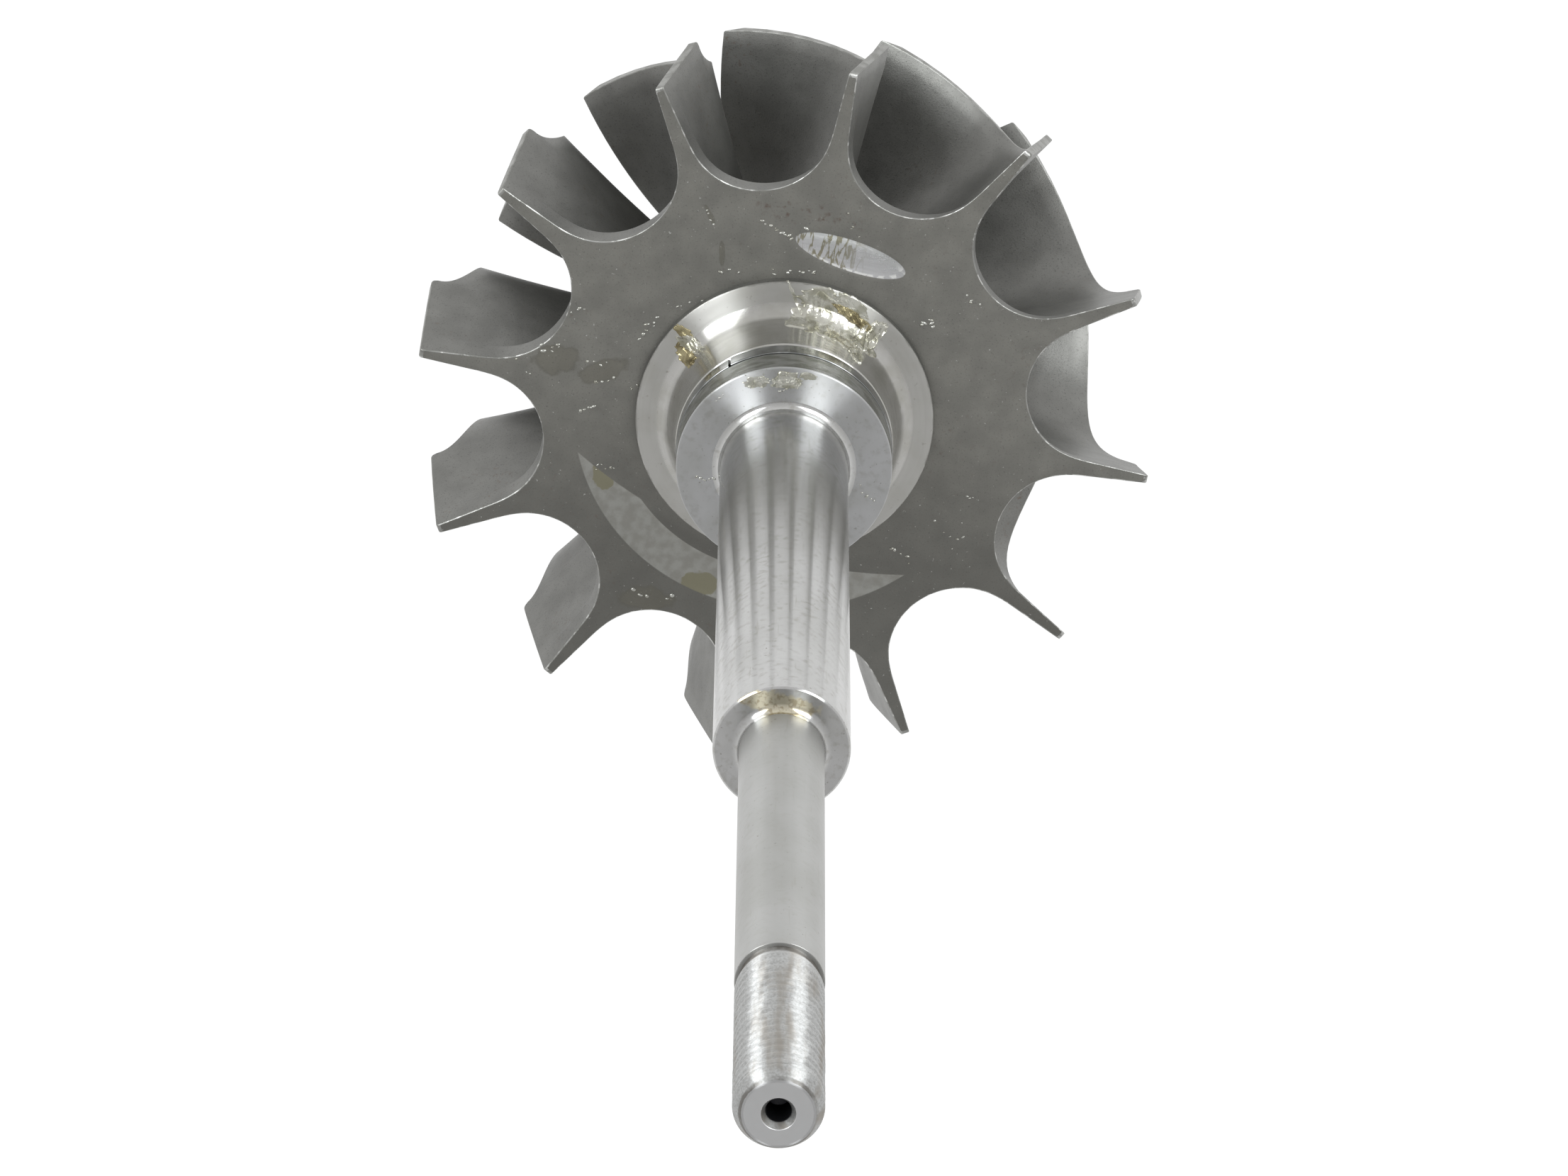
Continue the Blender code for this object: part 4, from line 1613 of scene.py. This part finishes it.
@dataclass
class BearingJournal:
    """Ground bearing part of the shaft, with a fillet where its end face meets the stub."""

    datum: Datum
    chamfer: float = 0.12
    edge: float = 0.04
    lap: float = 0.01
    fillet_rows: int = 11
    fillet: float = 0.5
    columns: int = 192

    def assemble(self) -> bpy.types.Object:
        """Build and dress the journal, closed inside the stub by a quarter-circle fillet."""
        radius, foot, end = self.datum.journal_radius, self.datum.neck_top, self.datum.journal_end
        profile = rounded_profile(
            [
                (0.0, foot, 0.0),
                (radius, foot, 0.0),
                (radius, end - self.chamfer, self.edge),
                (radius - self.chamfer, end, self.edge),
                (self.datum.stub_radius + self.fillet + self.lap, end, 0.0),
            ]
        )
        turn = quarter(self.fillet_rows)
        curve_radius = self.datum.stub_radius - self.lap + self.fillet * (1 - np.sin(turn))
        curve_height = end + self.fillet * (1 - np.cos(turn))
        curve = np.stack([curve_radius, curve_height], axis=1)
        profile = np.concatenate([profile, curve, [[0.0, end + self.fillet]]])
        piece = turned_piece("bearing_journal", profile, self.columns, self.datum.lift)
        finish = JournalSteel(
            self.datum.lift,
            "journal_steel",
            Grind.WORN,
            pale=(0.545, 0.545, 0.54),
            dark=(0.475, 0.475, 0.465),
            anisotropic=0.85,
            end_height=end,
        )
        return settle(piece, Slot.GROUND, [finish.material()], "shaft_journal")


@dataclass
class WheelStub:
    """Thinner ground part of the shaft, which carries the other wheel."""

    datum: Datum
    sunk: float = 0.1
    edge: float = 0.05
    columns: int = 160

    def assemble(self) -> bpy.types.Object:
        """Build and dress the stub, its foot sunk into the journal."""
        radius, top = self.datum.stub_radius, self.datum.stub_top
        foot = self.datum.journal_end - self.sunk
        profile = rounded_profile(
            [(0.0, foot, 0.0), (radius, foot, 0.0), (radius, top, self.edge), (0.0, top, 0.0)]
        )
        piece = turned_piece("wheel_stub", profile, self.columns, self.datum.lift)
        finish = GroundSteel(
            self.datum.lift,
            "stub_steel",
            Grind.SATIN,
            pale=(0.42, 0.42, 0.41),
            dark=(0.37, 0.37, 0.355),
            stain_share=0.15,
            metallic=0.85,
        )
        return settle(piece, Slot.GROUND, [finish.material()], "shaft_stub")


@dataclass
class ThreadedTip:
    """Worn threaded end with a relief at its foot, a long lead-in and a centre drilling."""

    datum: Datum
    pitch: float = 0.8
    groove_depth: float = 0.08
    crest_flat: float = 0.30
    root_flat: float = 0.10
    relief_depth: float = 0.20
    relief_length: float = 0.40
    shoulder: float = 0.90
    fade: float = 0.8
    crest_radius: float = 2.46
    lead_width: float = 0.46
    lead_length: float = 1.0
    lead_curve: float = 0.1
    drill_radius: float = 0.95
    hole_radius: float = 0.68
    hole_depth: float = 2.4
    countersink: float = 0.5
    drill_point: float = 0.4
    shade_start: float = 0.4
    edge: float = 0.04
    face_margin: float = 0.08
    wobble: float = 0.02
    wobble_length: float = 0.6
    last_groove: float = 0.06
    last_groove_drop: float = 0.13
    last_groove_width: float = 0.07
    rows_a_pitch: int = 24
    columns: int = 144

    def groove(self, height: Array, azimuth: Array) -> Array:
        """Depth of the thread: a helix with flat crests and roots and straight flanks.

        The phase is height / pitch - azimuth / turn, and the depth rises and falls with the
        phase's distance from the nearest crest. Both ends of the thread run out, and wear
        has made the depth uneven by the wobble. One last shallow groove, g exp(-(z / w)^2),
        runs round it under the lead-in.
        """
        phase = height / self.pitch - azimuth / (2 * np.pi)
        from_crest = 1 - np.abs(2 * np.mod(phase, 1.0) - 1)
        run = 1 - self.crest_flat - self.root_flat
        cut = self.groove_depth * ramp((from_crest - self.crest_flat) / run)
        start = self.datum.stub_top + self.relief_length + self.shoulder
        end = self.datum.tip_height - self.lead_length
        run_out = smooth((height - start) / self.fade) * smooth((end - height) / self.fade)
        around = azimuth * self.crest_radius
        uneven = ripple(height / self.wobble_length, around / self.wobble_length, 5)
        above = (height - end + self.last_groove_drop) / self.last_groove_width
        return run_out * (cut + self.wobble * uneven) + self.last_groove * np.exp(-(above**2))

    def assemble(self) -> bpy.types.Object:
        """Build the threaded length as a height field, then the lead-in and the drilling.

        The shoulder's radius eases from the relief's to the crest's along its length.
        """
        foot, tip = self.datum.stub_top, self.datum.tip_height
        start, end = foot + self.relief_length, tip - self.lead_length
        rows = round((end - start) / self.pitch * self.rows_a_pitch)
        height = np.linspace(start, end, rows + 1)[:, None]
        azimuth = circle(self.columns)[None, :]
        relief = self.crest_radius - self.relief_depth
        envelope = relief + self.relief_depth * smooth((height - start) / self.shoulder)
        radius = envelope - self.groove(height, azimuth)
        relief_profile = np.array([[0.0, foot], [relief, foot], [relief, start]])
        lead_in = rounded_profile(
            [
                (self.crest_radius, end, 0.0),
                (self.crest_radius, end + 1.5 * self.lead_curve, self.lead_curve),
                (self.crest_radius - self.lead_width, tip, self.lead_curve),
                (self.drill_radius + self.face_margin, tip, 0.0),
            ]
        )[:-1]
        bottom = tip - self.hole_depth
        drill = rounded_profile(
            [
                (lead_in[-1, 0], tip, 0.0),
                (self.drill_radius, tip, self.edge),
                (self.hole_radius, tip - self.countersink, self.edge),
                (self.hole_radius, bottom, 0.0),
                (0.0, bottom - self.drill_point, 0.0),
            ]
        )
        skin = Skin()
        skin.add(spin(relief_profile, self.columns), around=True)
        skin.add(polar(radius, azimuth, height), around=True)
        skin.add(spin(lead_in, self.columns), around=True)
        skin.add(spin(drill, self.columns), 1, around=True)
        piece = skin.build("threaded_tip", self.datum.lift)
        places = (start, tip, self.hole_radius, tip - self.shade_start)
        finishes = [
            ThreadSteel(self.datum.lift, name, stretch, *places).material()
            for name, stretch in (("thread_steel", 1.0), ("end_steel", 0.0))
        ]
        return settle(piece, Slot.THREAD, finishes, "shaft_thread")


# Oil


@dataclass(frozen=True)
class FilmPatch:
    """One crumpled patch of dried oil: where it lies, how large it is and how it is folded.

    Azimuth and lean are in degrees, and along is the way up or in from the surface's outer edge.
    The folds have a length and a height, and are longer by the drape on that way.
    """

    azimuth: float
    along: float
    half_length: float
    half_width: float
    lean: float
    fold: float
    height: float
    seed: int
    brown: bool = False
    drape: float = 2.5


FLARE_PATCHES = (
    FilmPatch(75.0, 2.30, 2.90, 1.70, -4.0, 0.42, 0.09, 3),
    FilmPatch(84.0, 0.95, 1.50, 0.80, 0.0, 0.40, 0.10, 9),
    FilmPatch(72.0, 0.55, 1.25, 0.50, -8.0, 0.80, 0.12, 15, drape=1.0),
    FilmPatch(68.5, 1.20, 1.70, 0.38, -6.0, 0.45, 0.26, 11, brown=True, drape=0.7),
    FilmPatch(58.5, 1.75, 0.75, 1.55, -12.0, 0.45, 0.30, 21),
    FilmPatch(61.0, 3.60, 0.60, 1.20, 10.0, 0.40, 0.18, 27),
    FilmPatch(96.0, 1.10, 0.10, 1.30, 26.0, 0.60, 0.16, 25, drape=1.0),
    FilmPatch(148.5, 1.65, 0.50, 1.00, 14.0, 0.50, 0.24, 31),
    FilmPatch(153.5, 1.90, 0.60, 0.90, 0.0, 0.45, 0.16, 37, brown=True),
    FilmPatch(147.0, 0.75, 0.35, 0.70, 10.0, 0.40, 0.16, 41, brown=True),
)
DRUM_PATCHES = (
    FilmPatch(99.0, 0.80, 0.95, 0.62, 0.0, 0.30, 0.10, 51, drape=0.8),
    FilmPatch(117.0, 0.62, 0.85, 0.40, -12.0, 0.34, 0.05, 53, drape=0.8),
    FilmPatch(87.0, 0.30, 0.55, 0.24, 0.0, 0.26, 0.08, 57, drape=0.8),
)


@dataclass
class OilFilm:
    """Crumpled skin of dried oil that lies over a turned surface, as closed thin sheets."""

    datum: Datum
    name: str
    path: Array
    patches: tuple[FilmPatch, ...]
    thickness: float = 0.025
    sunk: float = 0.02
    raggedness: float = 0.35
    rag_rate: float = 2.6
    fold_fade: float = 0.12
    rim_fade: float = 0.02
    fade_ease: float = 0.4
    rings: int = 40
    sectors: int = 120

    def sheet(self, patch: FilmPatch) -> Array:
        """Rings of points out over the top of one patch and back underneath it.

        The patch's edge lies at 1 + g n of its size, where g is the raggedness and n is noise
        round the edge. The top stands off the surface by the folds' height, which fades out
        towards the edge, and the underside is sunk into it.
        """
        share = np.linspace(0, 1, self.rings + 1)[:, None]
        turn = circle(self.sectors)[None, :]
        rag = ripple(self.rag_rate * np.cos(turn), self.rag_rate * np.sin(turn), patch.seed)
        edge = 1 + self.raggedness * rag
        around = share * edge * np.cos(turn) * patch.half_length
        across = share * edge * np.sin(turn) * patch.half_width
        lean = math.radians(patch.lean)
        u = around * math.cos(lean) - across * math.sin(lean)
        v = around * math.sin(lean) + across * math.cos(lean)
        folds = crumple(u / patch.fold, v / (patch.fold * patch.drape), patch.seed)
        folds = patch.height * folds * ramp((1 - share) / self.fold_fade, self.fade_ease)
        rim = ramp((1 - share) / self.rim_fade, self.fade_ease)
        top = self.place(patch, u, v, (self.thickness + folds) * rim)
        under = self.place(patch, u, v, np.full_like(u, -self.sunk))
        return np.concatenate([top, under[::-1]])

    def place(self, patch: FilmPatch, u: Array, v: Array, lifted: Array) -> Array:
        """Points of the surface at u round the axis and v along its section, lifted off it."""
        steps = np.diff(self.path, axis=0)
        length = np.concatenate([[0.0], np.cumsum(np.hypot(steps[:, 0], steps[:, 1]))])
        slope = np.gradient(self.path, length, axis=0)
        slope = slope / np.linalg.norm(slope, axis=1, keepdims=True)
        along = np.clip(patch.along + v, 0.02, length[-4])
        radius = np.interp(along, length, self.path[:, 0])
        height = np.interp(along, length, self.path[:, 1])
        out = np.interp(along, length, slope[:, 1])
        up = -np.interp(along, length, slope[:, 0])
        azimuth = math.radians(patch.azimuth) + u / radius
        return polar(radius + lifted * out, azimuth, height + lifted * up)

    def assemble(self) -> bpy.types.Object:
        """Build and dress all patches as one piece."""
        skin = Skin()
        for patch in self.patches:
            skin.add(self.sheet(patch), int(patch.brown), around=True)
        piece = skin.build(self.name, self.datum.lift)
        clear = OldOil(
            self.datum.lift,
            f"{self.name}_clear",
            thin=(0.60, 0.59, 0.52),
            thick=(0.27, 0.26, 0.17),
            brown_share=0.7,
            alpha=0.6,
        )
        brown = OldOil(
            self.datum.lift,
            f"{self.name}_brown",
            thin=(0.38, 0.33, 0.19),
            thick=(0.14, 0.11, 0.05),
            alpha=0.8,
        )
        return settle(piece, Slot.MACHINED, [clear.material(), brown.material()])


@dataclass(frozen=True)
class BeadString:
    """Beads of oil in a loose line from one place to another on a level face."""

    start: tuple[float, float]
    end: tuple[float, float]
    count: int
    size: float = 0.11
    scatter: float = 0.12
    height: float = 0.0


@dataclass
class OilBeads:
    """Small glossy beads of oil, on the back face and on the drum's front face."""

    datum: Datum
    strings: tuple[BeadString, ...] = (
        BeadString((-16.2, 1.6), (-14.5, 2.2), 6, 0.13, 0.25),
        BeadString((-17.3, 0.8), (-16.0, 0.1), 3, 0.09, 0.3),
        BeadString((-13.0, 1.4), (-11.6, 1.6), 4, 0.10),
        BeadString((-12.4, -0.1), (-10.9, 0.6), 5, 0.10),
        BeadString((-10.0, 0.0), (-9.7, 0.5), 3, 0.08),
        BeadString((-13.0, -2.1), (-11.9, -1.2), 5, 0.10),
        BeadString((-14.6, 4.5), (-13.6, 5.1), 4, 0.11),
        BeadString((-10.2, 3.6), (-8.9, 5.2), 7, 0.12),
        BeadString((-8.3, 5.9), (-6.6, 7.0), 4, 0.08),
        BeadString((-3.9, 12.9), (-1.6, 11.9), 9, 0.12, 0.08),
        BeadString((-1.1, 12.9), (-0.8, 12.5), 2, 0.13, 0.05),
        BeadString((-7.6, 13.2), (-6.7, 12.0), 5, 0.07, 0.05),
        BeadString((-5.9, 9.0), (-4.8, 9.3), 3, 0.11),
        BeadString((-2.4, 9.8), (0.4, 9.9), 9, 0.11, 0.2),
        BeadString((7.2, 8.0), (8.3, 7.8), 5, 0.12, 0.2),
        BeadString((9.7, 10.1), (10.6, 9.7), 4, 0.11),
        BeadString((2.7, 13.2), (0.9, 14.0), 4, 0.09, 0.3),
        BeadString((-7.6, -13.5), (-6.3, -13.8), 4, 0.12),
        BeadString((-5.1, -13.7), (-4.7, -13.6), 2, 0.14, 0.08),
        BeadString((8.2, -7.6), (9.8, -8.4), 5, 0.10),
        BeadString((11.2, -5.2), (13.0, -6.4), 8, 0.08, 0.5),
        BeadString((12.5, -3.0), (12.9, -3.6), 3, 0.08),
        BeadString((-11.3, -5.6), (-9.9, -5.4), 6, 0.09),
        BeadString((-5.3, -1.8), (-4.2, -1.5), 5, 0.12, 0.12, 8.4),
        BeadString((4.8, -0.3), (6.1, -1.3), 5, 0.10, 0.10, 8.4),
        BeadString((-2.4, 5.9), (-0.6, 5.4), 9, 0.10, 0.22, 8.4),
        BeadString((-4.6, 4.3), (-4.9, 3.6), 4, 0.07, 0.08, 8.4),
    )
    sizes: Range = (0.45, 1.2)
    stretches: Range = (1.0, 1.6)
    turns: Range = (-0.4, 0.9)
    flatness: float = 0.6
    rings: int = 6
    sides: int = 12
    seed: int = 7

    def places(self, rng: np.random.Generator) -> Array:
        """Centre, height and size of each bead, evenly along its string with some scatter."""
        rows = []
        for string in self.strings:
            share = (np.arange(string.count) + rng.uniform(0.1, 0.9, string.count)) / string.count
            start, end = np.array(string.start), np.array(string.end)
            centre = start + share[:, None] * (end - start)
            centre = centre + rng.normal(0, string.scatter, centre.shape)
            size = string.size * rng.uniform(*self.sizes, (string.count, 1))
            rows.append(np.hstack([centre, np.full_like(size, string.height), size]))
        return np.concatenate(rows)

    def assemble(self) -> bpy.types.Object:
        """Flattened beads: half width s sin t and height f s cos t, stretched one way."""
        rng = np.random.default_rng(self.seed)
        x, y, z, size = self.places(rng).T[..., None, None]
        rise = np.linspace(0, np.pi, self.rings + 1)[None, :, None]
        round_it = circle(self.sides)
        stretch = rng.uniform(*self.stretches, size.shape)
        turn = rng.uniform(*self.turns, size.shape)
        along = size * stretch * np.sin(rise) * np.cos(round_it)
        aside = size / stretch * np.sin(rise) * np.sin(round_it)
        across_x = along * np.cos(turn) - aside * np.sin(turn)
        across_y = along * np.sin(turn) + aside * np.cos(turn)
        up = self.flatness * size * np.cos(rise)
        grid = np.stack(np.broadcast_arrays(x + across_x, y + across_y, z + up), axis=-1)
        skin = Skin()
        for bead in grid:
            skin.add(bead, around=True)
        piece = skin.build("oil_beads", self.datum.lift)
        finish = OldOil(
            self.datum.lift,
            "clear_oil",
            thin=(0.42, 0.42, 0.39),
            thick=(0.20, 0.19, 0.15),
            brown_share=0.7,
        )
        return settle(piece, Slot.CAST, [finish.material()])


# Studio


@dataclass(frozen=True)
class SoftBox:
    """One large soft light, aimed at the wheel, with its place in degrees and its size in m."""

    name: str
    azimuth: float
    elevation: float
    width: float
    height: float
    radiance: float


@dataclass
class Studio:
    """Pale floor, soft light and the camera."""

    datum: Datum
    floor_size: float = 6.0
    floor_tone: Colour = (0.1, 0.1, 0.1)
    floor_roughness: float = 0.9
    floor_glow: float = 0.95
    horizon: float = 0.95
    zenith: float = 0.62
    soft_boxes: tuple[SoftBox, ...] = (
        SoftBox("soft_box_left", 145.0, 36.0, 0.28, 0.62, 6.5),
        SoftBox("soft_box_right", 59.5, 38.0, 0.34, 0.56, 5.9),
    )
    white: Colour = (1.0, 1.0, 1.0)
    light_tint: Colour = (0.95, 0.98, 1.0)
    light_distance: float = 0.8
    camera_azimuth: float = 100.081
    camera_elevation: float = 66.348
    camera_roll: float = 179.53
    camera_distance: float = 0.48602
    aim: tuple[float, float, float] = (0.000058, 0.000010, 0.050603)
    lens: float = 184.85
    sensor: float = 36.0

    @staticmethod
    def direction(azimuth: float, elevation: float) -> Vector:
        """Unit vector towards an azimuth and elevation in degrees."""
        turn, rise = math.radians(azimuth), math.radians(elevation)
        level = math.cos(rise)
        return Vector((level * math.cos(turn), level * math.sin(turn), math.sin(rise)))

    def floor(self) -> None:
        """Level sheet under the nose, lit from below as a light table is."""
        half = 0.5 * self.floor_size
        corners = [(-half, -half, 0.0), (half, -half, 0.0), (half, half, 0.0), (-half, half, 0.0)]
        mesh = bpy.data.meshes.new("floor")
        mesh.from_pydata(corners, [], [(0, 1, 2, 3)])
        sheet = bpy.data.objects.new("floor", mesh)
        bpy.context.scene.collection.objects.link(sheet)
        paper = bpy.data.materials.new("pale_floor")
        paper.use_nodes = True
        shader = paper.node_tree.nodes["Principled BSDF"]
        looks = {
            "Base Color": (*self.floor_tone, 1.0),
            "Roughness": self.floor_roughness,
            "Specular IOR Level": 0.0,
            "Emission Color": (*self.white, 1.0),
            "Emission Strength": self.floor_glow,
        }
        for socket, value in looks.items():
            shader.inputs[socket].default_value = value
        sheet.data.materials.append(paper)

    def surroundings(self) -> None:
        """Soft white room that is brighter at the horizon than overhead."""
        world = bpy.data.worlds.new("studio")
        bpy.context.scene.world = world
        world.use_nodes = True
        tree = world.node_tree
        background = tree.nodes["Background"]
        place = tree.nodes.new("ShaderNodeTexCoord")
        split = tree.nodes.new("ShaderNodeSeparateXYZ")
        level = tree.nodes.new("ShaderNodeMapRange")
        level.inputs["To Min"].default_value = self.horizon
        level.inputs["To Max"].default_value = self.zenith
        tree.links.new(place.outputs["Generated"], split.inputs["Vector"])
        tree.links.new(split.outputs["Z"], level.inputs["Value"])
        tree.links.new(level.outputs["Result"], background.inputs["Strength"])
        background.inputs["Color"].default_value = (*self.white, 1.0)

    def lights(self) -> None:
        """Hang the soft boxes, each facing the wheel."""
        target = Vector((0.0, 0.0, self.datum.lift * MM))
        for box in self.soft_boxes:
            lamp = bpy.data.lights.new(box.name, "AREA")
            lamp.shape = "RECTANGLE"
            lamp.size, lamp.size_y = box.width, box.height
            lamp.energy = box.radiance * math.pi * box.width * box.height
            lamp.color = self.light_tint
            holder = bpy.data.objects.new(box.name, lamp)
            back = self.direction(box.azimuth, box.elevation)
            holder.location = target + back * self.light_distance
            holder.rotation_mode = "QUATERNION"
            holder.rotation_quaternion = back.to_track_quat("Z", "Y")
            bpy.context.scene.collection.objects.link(holder)

    def camera(self) -> None:
        """Camera over the shaft's end, turned so that the shaft points down in the picture."""
        data = bpy.data.cameras.new("camera")
        data.lens, data.sensor_width = self.lens, self.sensor
        data.clip_start, data.clip_end = 0.01, 10.0
        view = bpy.data.objects.new("camera", data)
        back = self.direction(self.camera_azimuth, self.camera_elevation)
        level = (-back).cross(Vector((0, 0, 1))).normalized()
        rise = level.cross(-back)
        roll = math.radians(self.camera_roll)
        up = rise * math.cos(roll) + level * math.sin(roll)
        right = up.cross(back)
        place = Vector(self.aim) + back * self.camera_distance
        turn = Matrix((right, up, back)).transposed().to_4x4()
        view.matrix_world = Matrix.Translation(place) @ turn
        bpy.context.scene.collection.objects.link(view)
        bpy.context.scene.camera = view

    def assemble(self) -> None:
        """Set up the floor, the room, the lights and the camera."""
        self.floor()
        self.surroundings()
        self.lights()
        self.camera()
        bpy.context.scene.view_settings.view_transform = "Standard"


def main() -> None:
    """Build the wheel from its casting out to the threaded end, then the studio."""
    datum = Datum.from_frame()
    scoop, crescent = ScoopMark(), CrescentMark()
    flare, drum = HubFlare(datum), SealDrum(datum)
    assemblies = [
        WheelCasting(datum, scoop, crescent),
        NoseHexagon(datum),
        flare,
        drum,
        SplitRing(datum),
        BearingJournal(datum),
        WheelStub(datum),
        ThreadedTip(datum),
        OilFilm(datum, "oil_film", flare.path(), FLARE_PATCHES),
        OilFilm(datum, "drum_film", drum.face_path(), DRUM_PATCHES),
        OilBeads(datum),
    ]
    for assembly in assemblies:
        piece = assembly.assemble()
        triangles = sum(len(face.vertices) - 2 for face in piece.data.polygons)
        log.info("%s: %d triangles", piece.name, triangles)
    Studio(datum).assemble()


if __name__ == "__main__":
    main()
